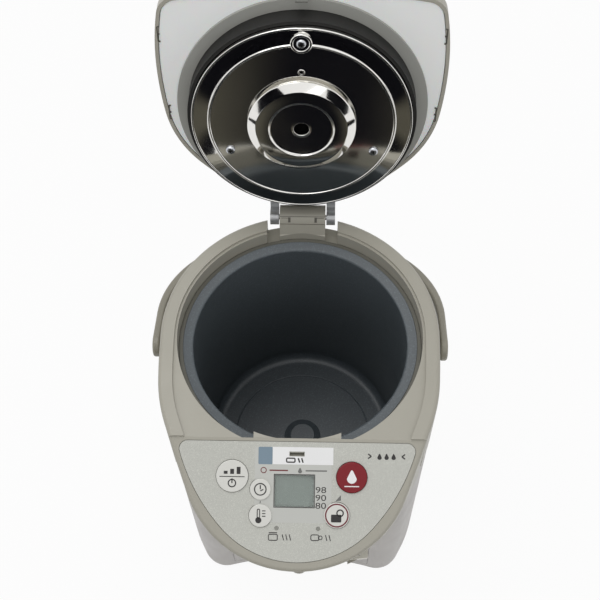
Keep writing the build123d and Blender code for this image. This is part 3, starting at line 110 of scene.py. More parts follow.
# The lug beside the spout.
LUG_CORNERS = ((49.9, -133.0), (50.5, -144.0), (37.0, -145.5))
LUG_DOT = (43.6, -141.6)
LUG = 209.0  # height of its own face, under the small plate
LUG_PLATE = 2.4


# ---------------------------------------------------------------- settings
def colour_property(name, description, default):
    """A colour that the sidebar shows, written as it looks on screen."""
    return FloatVectorProperty(
        name=name, description=description, default=default, size=3, min=0, max=1,
        subtype="COLOR_GAMMA",
    )


class ThermoPotColours(bpy.types.PropertyGroup):
    """Colours of the pot's finishes."""

    shell: colour_property("Shell", "Head and lid", (0.655, 0.643, 0.598))
    handle: colour_property("Handle", "Carrying handle", (0.555, 0.540, 0.490))
    casing: colour_property("Casing", "Lower body", (0.690, 0.676, 0.662))
    sheet: colour_property("Panel sheet", "Control panel", (0.735, 0.737, 0.708))
    key: colour_property("Keys", "Pale keys", (0.850, 0.848, 0.825))
    red: colour_property("Red key", "Key that dispenses", (0.480, 0.010, 0.080))
    display: colour_property("Display", "Blank display", (0.670, 0.690, 0.675))
    coat: colour_property("Vessel coat", "Coating of the vessel", (0.325, 0.352, 0.370))
    liner: colour_property("Lid liner", "White liner under the lid", (0.960, 0.960, 0.955))
    ring: colour_property("Lid ring", "Grey ring round the gasket", (0.620, 0.620, 0.598))


class ThermoPotSizes(bpy.types.PropertyGroup):
    """Sizes of the fine details."""

    print_height: FloatProperty(
        name="Print height", description="How far the print stands above its surface, in mm",
        default=0.05, min=0.01, max=0.2,
    )


class ThermoPotStage(bpy.types.PropertyGroup):
    """Camera and light."""

    lens: FloatProperty(
        name="Lens", description="Focal length of the camera", default=68.19, min=20, max=200,
        unit="CAMERA",
    )
    sky: FloatProperty(
        name="Sky", description="Strength of the light from all round", default=0.62, min=0, max=2
    )
    key_light: FloatProperty(
        name="Key light", description="Power of the overhead light", default=7.0, min=0, max=50,
        unit="POWER",
    )


# ---------------------------------------------------------------- nodes
def linear(colour):
    """A screen colour as the values that a shader takes."""
    return (
        *(c / 12.92 if c <= 0.04045 else ((c + 0.055) / 1.055) ** 2.4 for c in colour), 1.0,
    )


def node(tree, kind, given=None, **settings):
    """A shader node with its settings and inputs: a value, or another node's output."""
    made = tree.nodes.new("ShaderNode" + kind)
    for name, value in settings.items():
        setattr(made, name, value)
    for label, value in (given or {}).items():
        if isinstance(value, bpy.types.NodeSocket):
            tree.links.new(value, made.inputs[label])
        else:
            made.inputs[label].default_value = value
    return made


def compute(tree, operation, *values):
    """The result of a calculation on values and other nodes' outputs."""
    return node(tree, "Math", dict(enumerate(values)), operation=operation).outputs[0]


def noise(tree, place, scale, detail, **given):
    """A mask of clouds from 0 to 1."""
    given = {"Vector": place, "Scale": scale, "Detail": detail, **given}
    return node(tree, "TexNoise", given).outputs[0]


def spread(tree, value, middle, share):
    """A mask from 0 to 1 as a factor round a middle value: middle * (1 +- share)."""
    shift = node(tree, "MapRange", {0: value, 1: 0.3, 2: 0.7, 3: -1.0, 4: 1.0}).outputs[0]
    factor = compute(tree, "ADD", compute(tree, "MULTIPLY", shift, share), 1.0)
    return compute(tree, "MULTIPLY", factor, middle)


def effect(name, clouding, grain_scale, roughness, gloss_variation):
    """A node group with the sockets of every effect: its tree, inputs and object coordinates."""
    tree = bpy.data.node_groups.new(name, "ShaderNodeTree")
    for label, value in (
        ("Colour", (0.5, 0.5, 0.5, 1.0)), ("Clouding", clouding), ("Grain Scale", grain_scale),
        ("Roughness", roughness), ("Gloss Variation", gloss_variation),
    ):
        kind = "NodeSocketColor" if label == "Colour" else "NodeSocketFloat"
        made = tree.interface.new_socket(label, in_out="INPUT", socket_type=kind)
        made.default_value = value
    for label in ("Colour", "Roughness", "Height"):
        kind = "NodeSocketColor" if label == "Colour" else "NodeSocketFloat"
        tree.interface.new_socket(label, in_out="OUTPUT", socket_type=kind)
    given = tree.nodes.new("NodeGroupInput").outputs
    return tree, given, node(tree, "TexCoord").outputs["Object"]


def complete(tree, given, shade, gloss, height):
    """Joins an effect's masks for its colour, its gloss and its relief to its outputs."""
    out = tree.nodes.new("NodeGroupOutput").inputs
    tinted = node(tree, "HueSaturation", {"Value": shade, "Color": given["Colour"]}).outputs[0]
    rough = spread(tree, gloss, given["Roughness"], given["Gloss Variation"])
    for value, label in ((tinted, "Colour"), (rough, "Roughness"), (height, "Height")):
        tree.links.new(value, out[label])
    return tree


def mould_grain():
    """Moulded plastic: a fine even grain, with faint clouds in colour and gloss."""
    tree, given, place = effect("grain", 0.03, 1800.0, 0.4, 0.12)
    cloud = noise(tree, place, 11.0, 3.0)
    rub = noise(tree, place, 60.0, 4.0)
    grain = noise(tree, place, given["Grain Scale"], 2.0)
    return complete(tree, given, spread(tree, cloud, 1.0, given["Clouding"]), rub, grain)


def rolled_metal():
    """Sheet metal: rolling lines along X, fine wiping marks and faint clouds in its gloss."""
    tree, given, place = effect("metal", 0.04, 1.0, 0.2, 0.3)
    drawn = node(tree, "Mapping", {"Vector": place, "Scale": (40.0, 1500.0, 1500.0)}).outputs[0]
    lines = noise(tree, drawn, given["Grain Scale"], 3.0)
    cloud = noise(tree, place, 22.0, 4.0, Distortion=0.6)
    both = compute(tree, "MULTIPLY_ADD", lines, cloud, 0.5)
    return complete(tree, given, spread(tree, cloud, 1.0, given["Clouding"]), cloud, both)


def flecked_coat():
    """A baked coating: small pale and dark flecks on a ground, slightly pebbled."""
    tree, given, place = effect("coat", 0.05, 1500.0, 0.35, 0.15)
    cloud = noise(tree, place, 16.0, 3.0)
    cells = node(tree, "TexVoronoi", {"Vector": place, "Scale": given["Grain Scale"]})
    tone = node(tree, "RGBToBW", {"Color": cells.outputs["Color"]}).outputs[0]
    fleck = node(tree, "MapRange", {0: tone, 1: 0.72, 2: 0.8, 3: 0.0, 4: 0.35}).outputs[0]
    shade = compute(tree, "ADD", spread(tree, cloud, 1.0, given["Clouding"]), fleck)
    return complete(tree, given, shade, cloud, noise(tree, place, 900.0, 2.0))


EFFECTS = {"grain": mould_grain, "metal": rolled_metal, "coat": flecked_coat}


def show(tree, share, first, second):
    """Puts a mix of two shaders on the surface."""
    mix = node(tree, "MixShader", {0: share, 1: first, 2: second})
    tree.links.new(mix.outputs[0], tree.nodes["Material Output"].inputs["Surface"])


# ---------------------------------------------------------------- materials
def blank(name):
    """A new material, its tree and its Principled shader."""
    made = bpy.data.materials.new(name)
    made.use_nodes = True
    return made, made.node_tree, made.node_tree.nodes["Principled BSDF"]


def finish(name, colour, kind="grain", depth=0.02, values=None, **shader):
    """A material: an effect that feeds a Principled shader, with its constants on the shader."""
    known = bpy.data.materials.get(name)
    if known:
        return known
    made, tree, principled = blank(name)
    pattern = tree.nodes.new("ShaderNodeGroup")
    pattern.node_tree = bpy.data.node_groups.get(kind) or EFFECTS[kind]()
    pattern.label = EFFECTS[kind].__doc__.split(":")[0]
    pattern.inputs["Colour"].default_value = linear(colour)
    for label, value in (values or {}).items():
        pattern.inputs[label].default_value = value
    tree.links.new(pattern.outputs["Colour"], principled.inputs["Base Color"])
    tree.links.new(pattern.outputs["Roughness"], principled.inputs["Roughness"])
    relief = {"Strength": 0.5, "Distance": depth * MILLIMETRE, "Height": pattern.outputs["Height"]}
    tree.links.new(node(tree, "Bump", relief).outputs[0], principled.inputs["Normal"])
    for setting, value in shader.items():
        label = setting.replace("_", " ").title().replace("Ior", "IOR")
        principled.inputs[label].default_value = value
    return made


def dress(material, *names):
    """Gives CAD nodes their finish."""
    for name in names:
        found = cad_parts[name]
        if not found.material_slots:
            found.data.materials.append(material)
        for place in found.material_slots:
            place.material = material


def steel_finish():
    return finish("satin steel", (0.74, 0.74, 0.74), "metal", depth=0.01,
                  values={"Roughness": 0.24}, metallic=1.0)


def zinc_finish():
    return finish("zinc plate", (0.82, 0.83, 0.85), "metal", depth=0.01,
                  values={"Roughness": 0.3, "Clouding": 0.08}, metallic=1.0)


def mirror_finish():
    return finish("polished steel", (0.90, 0.895, 0.88), "metal", depth=0.0015,
                  values={"Roughness": 0.07, "Gloss Variation": 0.25}, metallic=1.0)


def print_finish(name, colour):
    return finish(name, colour, depth=0.004, values={"Roughness": 0.42, "Clouding": 0.03})


def dark_print():
    return print_finish("dark print", (0.14, 0.13, 0.13))


def white_print():
    return finish("white print", (0.93, 0.93, 0.93), depth=0.003, values={"Roughness": 0.3})


# ---------------------------------------------------------------- modelling helpers
def piece(name, bm, material, body, place=Matrix()):
    """Closes a mesh made in millimetres, puts it in place and lets it ride on a body."""
    bmesh.ops.remove_doubles(bm, verts=bm.verts, dist=CLOSE)
    bmesh.ops.recalc_face_normals(bm, faces=bm.faces)
    bmesh.ops.transform(bm, matrix=Matrix.Scale(MILLIMETRE, 4) @ place, verts=bm.verts)
    mesh = bpy.data.meshes.new(name)
    bm.to_mesh(mesh)
    bm.free()
    mesh.polygons.foreach_set("use_smooth", [True] * len(mesh.polygons))
    mesh.set_sharp_from_angle(angle=radians(SHARP))
    mesh.materials.append(material)
    made = bpy.data.objects.new(name, mesh)
    bpy.context.scene.collection.objects.link(made)
    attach(made, body)
    return made


def polygon(bm, points):
    """A flat face through points."""
    bm.faces.new([bm.verts.new((x, y, 0)) for x, y in points])


def disc(bm, x, y, radius):
    """A flat disc."""
    made = bmesh.ops.create_circle(
        bm, cap_ends=True, radius=radius, segments=DISC_SIDES, matrix=Matrix.Translation((x, y, 0))
    )
    return made["verts"][0].link_faces[0]


def frame_of(bm, face, width):
    """Leaves only the rim of a flat face."""
    bmesh.ops.inset_region(
        bm, faces=[face], thickness=width, use_boundary=True, use_even_offset=True
    )
    bmesh.ops.delete(bm, geom=[face], context="FACES")


def ring(bm, x, y, radius, width):
    """A flat ring."""
    frame_of(bm, disc(bm, x, y, radius), width)


def round_off(bm, verts, radius, segments):
    """Rounds corners of a flat face."""
    return bmesh.ops.bevel(
        bm, geom=verts, offset=radius, segments=segments, profile=0.5, affect="VERTICES",
        material=-1,
    )["verts"]


def plate(bm, x, y, width, height, corner=0.0, turn=0.0):
    """A flat rectangle, with round corners if asked."""
    place = Matrix.Translation((x, y, 0)) @ Matrix.Rotation(turn, 4, "Z")
    verts = bmesh.ops.create_grid(
        bm, x_segments=1, y_segments=1, size=0.5,
        matrix=place @ Matrix.Diagonal((width, height, 1, 1)),
    )["verts"]
    if not corner:
        return verts[0].link_faces[0]
    faces = {face for vert in round_off(bm, verts, corner, 6) for face in vert.link_faces}
    return max(faces, key=lambda face: face.calc_area())


def open_plate(bm, reach, holes, corners=()):
    """A flat rectangle with rectangular holes, its corners rounded if asked."""
    left, low, right, high = reach
    spans = [(x - w / 2, y - h / 2, x + w / 2, y + h / 2) for x, y, w, h in holes]
    xs = sorted({left, right, *(n for span in spans for n in span[::2])})
    ys = sorted({low, high, *(n for span in spans for n in span[1::2])})
    verts = {(x, y): bm.verts.new((x, y, 0)) for x in xs for y in ys}
    for x0, x1 in zip(xs, xs[1:]):
        for y0, y1 in zip(ys, ys[1:]):
            x, y = (x0 + x1) / 2, (y0 + y1) / 2
            if not any(span[0] < x < span[2] and span[1] < y < span[3] for span in spans):
                bm.faces.new([verts[x0, y0], verts[x1, y0], verts[x1, y1], verts[x0, y1]])
    places = ((left, low), (right, low), (right, high), (left, high))
    for place, radius in zip(places, corners):
        round_off(bm, [verts[place]], radius, 8)


def stroke(bm, start, end, width):
    """A flat straight stroke between two points, with its ends rounded."""
    run = Vector(end) - Vector(start)
    middle = (Vector(start) + Vector(end)) / 2
    plate(bm, middle.x, middle.y, run.length, width, 0.3 * width, atan2(run.y, run.x))


def heat(bm, places, low, high, width):
    """Strokes of rising heat, each leaning to the left."""
    for x in places:
        stroke(bm, (x - 0.5, high), (x + 0.5, low), width)


def drop(bm, x, y, radius):
    """A flat drop, point upwards: a disc with its upper half drawn up and narrowed."""
    middle = y - 0.3 * radius
    for corner in disc(bm, x, middle, radius).verts:
        rise = max(corner.co.y - middle, 0) / radius
        corner.co.x = x + (corner.co.x - x) * (1 - 0.45 * rise)
        corner.co.y += 0.75 * radius * rise ** 2


def thicken(bm, height):
    """Turns flat faces at z = 0 into thin plates that stand on it."""
    bmesh.ops.recalc_face_normals(bm, faces=bm.faces)
    for face in bm.faces:
        if face.normal.z < 0:
            face.normal_flip()
    grown = bmesh.ops.extrude_face_region(bm, geom=bm.faces[:], use_keep_orig=True)
    tops = [v for v in grown["geom"] if isinstance(v, bmesh.types.BMVert)]
    bmesh.ops.translate(bm, vec=(0, 0, height), verts=tops)


def on_panel(height):
    """The panel's frame, raised by a height."""
    return PANEL @ Matrix.Translation((0, 0, height))


def printed(name, material, body, height, draw, middle=()):
    """A printed mark: flat shapes drawn in the panel's frame, made into a thin film."""
    bm = bmesh.new()
    draw(bm, *middle)
    thicken(bm, bpy.context.scene.pot_sizes.print_height + SUNK)
    piece(name, bm, material, body, on_panel(height - SUNK))


def soften(points, reach, steps=5):
    """A profile with its corners rounded, each along a reach of its two sides."""
    points = [Vector(point) for point in points]
    line = [points[0]]
    for before, corner, after in zip(points, points[1:], points[2:]):
        start, end = (
            corner + side.normalized() * min(reach, 0.45 * side.length)
            for side in (before - corner, after - corner)
        )
        for i in range(steps + 1):
            t = i / steps
            line.append(start * (1 - t) ** 2 + corner * 2 * t * (1 - t) + end * t ** 2)
    return line + [points[-1]]


def lathe(bm, points, x=0.0, y=0.0, steps=192):
    """A body of revolution about an upright axis from its profile as radius and height."""
    line = [bm.verts.new((x + radius, y, height)) for radius, height in points]
    edges = [bm.edges.new(pair) for pair in zip(line, line[1:])]
    bmesh.ops.spin(
        bm, geom=line + edges, cent=(x, y, 0), axis=(0, 0, 1), angle=2 * pi, steps=steps,
        use_merge=True,
    )


def box(bm, low, high):
    """A box between two corners."""
    size = Vector(high) - Vector(low)
    place = Matrix.Translation((Vector(low) + Vector(high)) / 2)
    matrix = place @ Matrix.Diagonal((*size, 1))
    return bmesh.ops.create_cube(bm, size=1, matrix=matrix)["verts"]


# ---------------------------------------------------------------- operators: finishes
class ShellFinish(bpy.types.Operator):
    """Finishes the head, the lid, the handle and the lower body"""

    bl_idname = "thermo_pot.shell"
    bl_label = "Shell"

    def execute(self, context):
        colours = context.scene.pot_colours
        shell = finish("shell moulding", colours.shell, depth=0.03,
                       values={"Roughness": 0.38, "Clouding": 0.02}, specular_ior_level=0.45)
        dress(shell, "top_frame", "beak_housing", "hinge_block", "lid_cover", "latch_lever",
              "spout_nozzle")
        handle = finish("handle moulding", colours.handle, depth=0.03, values={"Roughness": 0.42})
        dress(handle, "handle")
        casing = finish("casing moulding", colours.casing, depth=0.03,
                        values={"Roughness": 0.42, "Clouding": 0.02})
        dress(casing, "body_casing", "front_cover", "base_plate", "beak_underside")
        vent = finish("vent moulding", (0.56, 0.555, 0.52), values={"Roughness": 0.45})
        dress(vent, "steam_vent")
        foot = finish("foot rubber", (0.16, 0.16, 0.16), depth=0.06,
                      values={"Roughness": 0.75, "Grain Scale": 1200.0})
        dress(foot, "foot_ring")
        inlet = finish("inlet moulding", (0.13, 0.13, 0.14), depth=0.04, values={"Roughness": 0.5})
        dress(inlet, "inlet_socket")
        return {"FINISHED"}


class VesselFinish(bpy.types.Operator):
    """Finishes the coated vessel and what touches it"""

    bl_idname = "thermo_pot.vessel"
    bl_label = "Vessel"

    def execute(self, context):
        coat = finish("vessel coat", context.scene.pot_colours.coat, "coat", depth=0.02,
                      values={"Roughness": 0.38}, specular_ior_level=0.5)
        dress(coat, "vessel_liner")
        dress(steel_finish(), "vessel_jacket", "suction_strainer")
        gasket = finish("black silicone", (0.085, 0.083, 0.075), depth=0.03,
                        values={"Roughness": 0.6})
        dress(gasket, "lid_gasket")
        seal = finish("seal silicone", (0.40, 0.395, 0.36), depth=0.02, values={"Roughness": 0.5})
        dress(seal, "vessel_seal")
        return {"FINISHED"}


class LidFinish(bpy.types.Operator):
    """Finishes the lid's underside"""

    bl_idname = "thermo_pot.lid_underside"
    bl_label = "Lid underside"

    def execute(self, context):
        colours = context.scene.pot_colours
        liner = finish("liner moulding", colours.liner, depth=0.01,
                       values={"Roughness": 0.33, "Clouding": 0.025},
                       subsurface_weight=0.15, subsurface_scale=0.003)
        dress(liner, "lid_liner")
        ring_moulding = finish("ring moulding", colours.ring, depth=0.03, values={"Roughness": 0.4})
        dress(ring_moulding, "lid_ring")
        silver = finish("silver paint", (0.73, 0.735, 0.74), depth=0.01,
                        values={"Roughness": 0.3}, metallic=0.55)
        dress(silver, "lid_arms")
        dress(steel_finish(), "hinge_pin", "tip_over_ball")
        hook = finish("hook moulding", (0.42, 0.42, 0.40), values={"Roughness": 0.45})
        dress(hook, "latch_hook")
        cage = finish("cage moulding", (0.80, 0.80, 0.78), values={"Roughness": 0.45})
        dress(cage, "ball_cage")
        return {"FINISHED"}


class MachineryFinish(bpy.types.Operator):
    """Finishes the pump, the hoses, the heater and the boards"""

    bl_idname = "thermo_pot.machinery"
    bl_label = "Machinery"

    def execute(self, context):
        dress(zinc_finish(), "base_screws", "inlet_pins", "pump_screws", "handle_pivots",
              "thermistor")
        motor = finish("motor can", (0.66, 0.66, 0.67), "metal", values={"Roughness": 0.28},
                       metallic=1.0)
        dress(motor, "pump_motor")
        ferrite = finish("ferrite", (0.15, 0.15, 0.16), "coat", values={"Roughness": 0.6})
        dress(ferrite, "magnet_rotor")
        pump = finish("pump moulding", (0.84, 0.84, 0.82), values={"Roughness": 0.45})
        dress(pump, "motor_bracket", "pump_housing", "pump_impeller", "pump_cover", "lcd_holder")
        milky = finish("milky silicone", (0.82, 0.83, 0.83), depth=0.01,
                       values={"Roughness": 0.4}, transmission_weight=0.25, ior=1.41)
        dress(milky, "suction_hose", "delivery_hose", "outlet_tube")
        mica = finish("pressed mica", (0.72, 0.66, 0.50), "coat", depth=0.05,
                      values={"Roughness": 0.6, "Grain Scale": 700.0})
        dress(mica, "heater_ring")
        board = finish("board laminate", (0.09, 0.29, 0.16), "coat", depth=0.01,
                       values={"Roughness": 0.35, "Grain Scale": 2600.0})
        dress(board, "power_board", "control_board")
        parts = finish("board parts", (0.20, 0.22, 0.28), values={"Roughness": 0.4})
        dress(parts, "board_components", "tact_switches")
        return {"FINISHED"}


class PanelFinish(bpy.types.Operator):
    """Finishes the control panel, its window, keys and lamps"""

    bl_idname = "thermo_pot.panel"
    bl_label = "Control panel"

    def execute(self, context):
        colours = context.scene.pot_colours
        sheet = finish("panel sheet", colours.sheet, "coat", depth=0.004,
                       values={"Roughness": 0.30, "Clouding": 0.02, "Grain Scale": 4200.0},
                       coat_weight=0.25, coat_roughness=0.12)
        dress(sheet, "control_panel")
        pale = finish("pale key", colours.key, depth=0.004,
                      values={"Roughness": 0.26, "Clouding": 0.01},
                      coat_weight=0.3, coat_roughness=0.1)
        dress(pale, "button_mode", "button_timer", "button_temperature", "button_unlock")
        red = finish("red key", colours.red, depth=0.004,
                     values={"Roughness": 0.30, "Clouding": 0.03},
                     coat_weight=0.12, coat_roughness=0.08, specular_ior_level=0.35)
        dress(red, "button_dispense")
        display = finish("display", colours.display, "coat", depth=0.001,
                         values={"Roughness": 0.35, "Clouding": 0.04, "Grain Scale": 5000.0})
        dress(display, "display_lcd")
        clear = finish("clear window", (0.93, 0.95, 0.94), depth=0.001,
                       values={"Roughness": 0.06, "Clouding": 0.0},
                       transmission_weight=1.0, ior=1.46)
        dress(clear, "display_window", "gauge_window", "gauge_tube")
        lamp = finish("lamp", (0.60, 0.60, 0.57), depth=0.001, values={"Roughness": 0.3},
                      transmission_weight=0.2, ior=1.5)
        dress(lamp, "indicator_lights")
        return {"FINISHED"}


# ---------------------------------------------------------------- operators: new pieces
class PolishedPlate(bpy.types.Operator):
    """Makes the lid's pressed steel plate, its steam cap and its screws"""

    bl_idname = "thermo_pot.polished_plate"
    bl_label = "Polished plate"

    def execute(self, context):
        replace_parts(self.plate(), "inner_plate")
        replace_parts(self.cap(), "steam_cap")
        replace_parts(self.screws(), "lid_screws")
        self.recess_shade()
        return {"FINISHED"}

    def plate(self):
        """The pressed plate, the boss of its first screw and the rim of its small hole."""
        bm = bmesh.new()
        lathe(bm, [PLATE_BACK[-1], *soften(PLATE_FACE, 0.4), *PLATE_BACK])
        boss = [(0, CHANNEL), (0, BOSS[0][1]), *soften(BOSS, 0.35), (0, CHANNEL)]
        lathe(bm, boss, *SCREWS[0], 96)
        lathe(bm, soften(HOLE_RIM, 0.4), *PIN_HOLE, 48)
        return piece("polished_plate", bm, mirror_finish(), "lid", LID)

    def cap(self):
        """The cap over the steam's way out."""
        bm = bmesh.new()
        lathe(bm, [CAP_FOOT, *soften(CAP, 0.5), CAP_FOOT])
        return piece("polished_cap", bm, mirror_finish(), "lid", LID)

    def screws(self):
        """The screws, with a hollow for the driver."""
        bm = bmesh.new()
        shank = [(0, FLANGE), (1.4, FLANGE), (1.4, HEAD_FOOT)]
        hollow = [(0.5, PLATE - 1.2), (0, PLATE - 1.1)]
        for x, y in SCREWS:
            lathe(bm, [*shank, *soften(SCREW_HEAD, 0.7), *hollow], x, y, 48)
        return piece("lid_screw_heads", bm, zinc_finish(), "lid", LID)

    def recess_shade(self):
        """The dark of the screws' crosses, of the small hole and of the cap's hole."""
        bm = bmesh.new()
        for x, y in SCREWS:
            for across, along in ((1.45, 0.33), (0.33, 1.45)):
                box(bm, (x - across, y - along, PLATE - 2.09), (x + across, y + along, PLATE - 1.7))
        for radius, low, high, place, steps in (
            (1.1, PLATE - 0.02, PLATE + 0.1, PIN_HOLE, 32), (4.9, 253.4, 254.2, (0, 0), 64),
        ):
            lathe(bm, [(0, low), (radius, low), (radius, high), (0, high)], *place, steps)
        # painted shade: a near-black finish that stands in for the shade in these hollows
        dark = finish("shadow", (0.04, 0.04, 0.04), values={"Roughness": 0.8},
                      specular_ior_level=0.0)
        piece("painted_recess_shade", bm, dark, "lid", LID)


class HingeDetail(bpy.types.Operator):
    """Scores the joints and the two catches into the hinge block"""

    bl_idname = "thermo_pot.hinge_detail"
    bl_label = "Hinge detail"

    def execute(self, context):
        bm = bmesh.new()
        edge, inset, gap = BLOCK_HALF - 0.2, BLOCK_HALF - 1.2, CATCH + 0.7
        for turn, left, right in ((31, -edge, edge), (38, -inset, -gap), (38, gap, inset)):
            self.mark(bm, turn, (left, -0.22), (right, 0.22))
        for x in (-CATCH, CATCH):
            self.mark(bm, 45, (x - 0.9, -2.2), (x + 0.9, 1.6))
        # the joint between the block and the frame, ahead of the barrel
        box(bm, (-edge, 91.6, 273.9), (edge, 92.1, 274.04))
        score = finish("score line", (0.36, 0.35, 0.32), values={"Roughness": 0.6})
        piece("hinge_scores", bm, score, "pot")
        return {"FINISHED"}

    def mark(self, bm, turn, low, high):
        """A mark on the barrel's surface, at a turn from the barrel's top."""
        verts = box(bm, (*low, BARREL - 0.2), (*high, BARREL + 0.04))
        place = Matrix.Translation(HINGE) @ Matrix.Rotation(radians(turn), 4, "X")
        bmesh.ops.transform(bm, matrix=place, verts=verts)


class BeakLug(bpy.types.Operator):
    """Makes the small plate with a dot on the lug beside the spout"""

    bl_idname = "thermo_pot.beak_lug"
    bl_label = "Beak lug"

    def execute(self, context):
        bm = bmesh.new()
        polygon(bm, soften(LUG_CORNERS, 1.6, 6))
        thicken(bm, LUG_PLATE)
        # partly painted light: the plate is paler than the head's shell, so that its face shows lit
        # beside the beak's shade
        pale = finish("lug moulding painted light", (0.86, 0.85, 0.81), depth=0.03, values={"Roughness": 0.4})
        piece("lug_plate", bm, pale, "pot", Matrix.Translation((0, 0, LUG)))
        bm = bmesh.new()
        disc(bm, *LUG_DOT, 1.0)
        thicken(bm, 0.04)
        dot = print_finish("dot print", (0.38, 0.37, 0.35))
        piece("lug_dot", bm, dot, "pot", Matrix.Translation((0, 0, LUG + LUG_PLATE)))
        return {"FINISHED"}


class LidClips(bpy.types.Operator):
    """Marks the four clips along the inner edge of the lid"""

    bl_idname = "thermo_pot.lid_clips"
    bl_label = "Lid clips"

    def execute(self, context):
        bm = bmesh.new()
        low, high = LID_EDGE - 0.08, LID_EDGE + 0.4
        for side in (-1, 1):
            for x, front, back in CLIPS:
                slit, tooth = side * x, side * (x - 0.7)
                box(bm, (slit - 0.45, front, low), (slit + 0.45, back, high))
                for y in (front, (front + back) / 2, back):
                    box(bm, (tooth - 0.6, y - 0.5, low - 0.02), (tooth + 0.6, y + 0.5, high - 0.02))
        # painted shade: the slits and teeth are the clips' real shapes, and their dark colour
        # stands in for the shade in the gaps
        shade = finish("clip shade", (0.30, 0.29, 0.26), values={"Roughness": 0.7})
        piece("lid_clips", bm, shade, "lid", LID)
        return {"FINISHED"}


# ---------------------------------------------------------------- what is printed on the panel
def tinted_plate(bm):
    """The pale plate round the window and the slot."""
    open_plate(bm, TINTED, (WINDOW, SLOT), (5.5, 5.5, 1.5, 1.5))


def white_band(bm):
    """The band round the slot."""
    open_plate(bm, BAND, (SLOT,))


def blue_block(bm):
    """The block at the left of the band."""
    plate(bm, -21.5, -12.0, 9.6, 11.8, 0.8)


def dark_marks(bm):
    """The dark pictograms, and the rim of the display."""
    # a vessel with rising heat, on the band
    frame_of(bm, plate(bm, -4.2, -14.9, 6.6, 3.6, 1.2), 0.9)
    heat(bm, (1.4, 3.7), -16.5, -13.4, 1.0)
    # the rim of the display
    x, y, width, height = WINDOW
    frame_of(bm, plate(bm, x, y, width + 1.1, height + 1.1), 0.45)
    # a lidded pot with rising heat, under the left lamp
    frame_of(bm, plate(bm, -15.6, -67.1, 6.6, 4.6, 1.2), 0.55)
    stroke(bm, (-18.4, -64.0), (-12.8, -64.0), 0.6)
    heat(bm, (-8.8, -6.4, -4.0), -69.0, -65.0, 0.55)
    # a cup with rising heat, under the right lamp
    frame_of(bm, plate(bm, 12.9, -66.9, 6.0, 4.4, 1.4), 0.55)
    ring(bm, 16.6, -66.9, 1.5, 0.5)
    heat(bm, (20.6, 23.0), -68.9, -65.0, 0.55)
    # three drops between two arrowheads that point at them, in the corner
    x, y = 61.0, -11.4
    for side in (-1, 1):
        for rise in (-1.6, 1.6):
            stroke(bm, (x + side * 12.6, y + rise), (x + side * 10.4, y), 0.8)
    for aside in (-4.8, 0, 4.8):
        drop(bm, x + aside, y - 0.3, 1.5)


def red_marks(bm):
    """A ring and a line above the display's left half."""
    ring(bm, -22.6, -21.9, 2.1, 0.6)
    stroke(bm, (-18.6, -21.9), (-6.0, -21.9), 0.9)


def grey_marks(bm):
    """A drop and a line above the display's right half, and marks between keys."""
    drop(bm, 2.2, -21.9, 1.4)
    stroke(bm, (6.0, -21.9), (20.6, -21.9), 0.9)
    # an arrowhead between the unlocking and the dispensing key, a tick between the small two
    polygon(bm, ((26.5, -42.2), (30.4, -41.6), (30.2, -38.0)))
    stroke(bm, (-24.7, -44.4), (-24.5, -42.8), 0.6)


def mode_mark(bm, x, y):
    """A line with three bars of rising height above it, and a switch below."""
    stroke(bm, (x - 8.6, y - 0.4), (x + 8.6, y - 0.4), 0.55)
    for i, height in enumerate((2.0, 3.4, 4.8)):
        plate(bm, x - 4.4 + 4.4 * i, y + 1.4 + height / 2, 2.6, height)
    ring(bm, x, y - 4.8, 2.9, 0.8)
    stroke(bm, (x, y - 4.8), (x, y - 1.6), 0.8)


def timer_mark(bm, x, y):
    """A clock."""
    ring(bm, x, y, 4.3, 0.8)
    stroke(bm, (x, y), (x, y + 2.9), 0.75)
    stroke(bm, (x, y - 1.1), (x + 2.1, y), 0.75)


def temperature_mark(bm, x, y):
    """A thermometer with three lines beside it."""
    disc(bm, x - 1.2, y - 3.0, 2.1)
    frame_of(bm, plate(bm, x - 1.2, y + 1.4, 2.3, 6.6, 1.1), 0.65)
    for i in range(3):
        height = y - 0.3 + 1.8 * i
        stroke(bm, (x + 1.2, height), (x + 3.6, height), 0.65)


def dispense_mark(bm, x, y):
    """A drop over a line."""
    drop(bm, x, y + 0.2, 3.3)
    stroke(bm, (x - 5.0, y - 6.0), (x + 5.0, y - 6.0), 0.7)


def unlock_ring(bm, x, y):
    """The ring along the key's edge."""
    ring(bm, x, y, UNLOCK_RADIUS - 0.75, 0.95)


def unlock_mark(bm, x, y):
    """An open padlock."""
    plate(bm, x - 0.4, y - 2.0, 7.0, 5.2, 0.7)
    ring(bm, x + 2.2, y + 1.6, 2.6, 0.9)


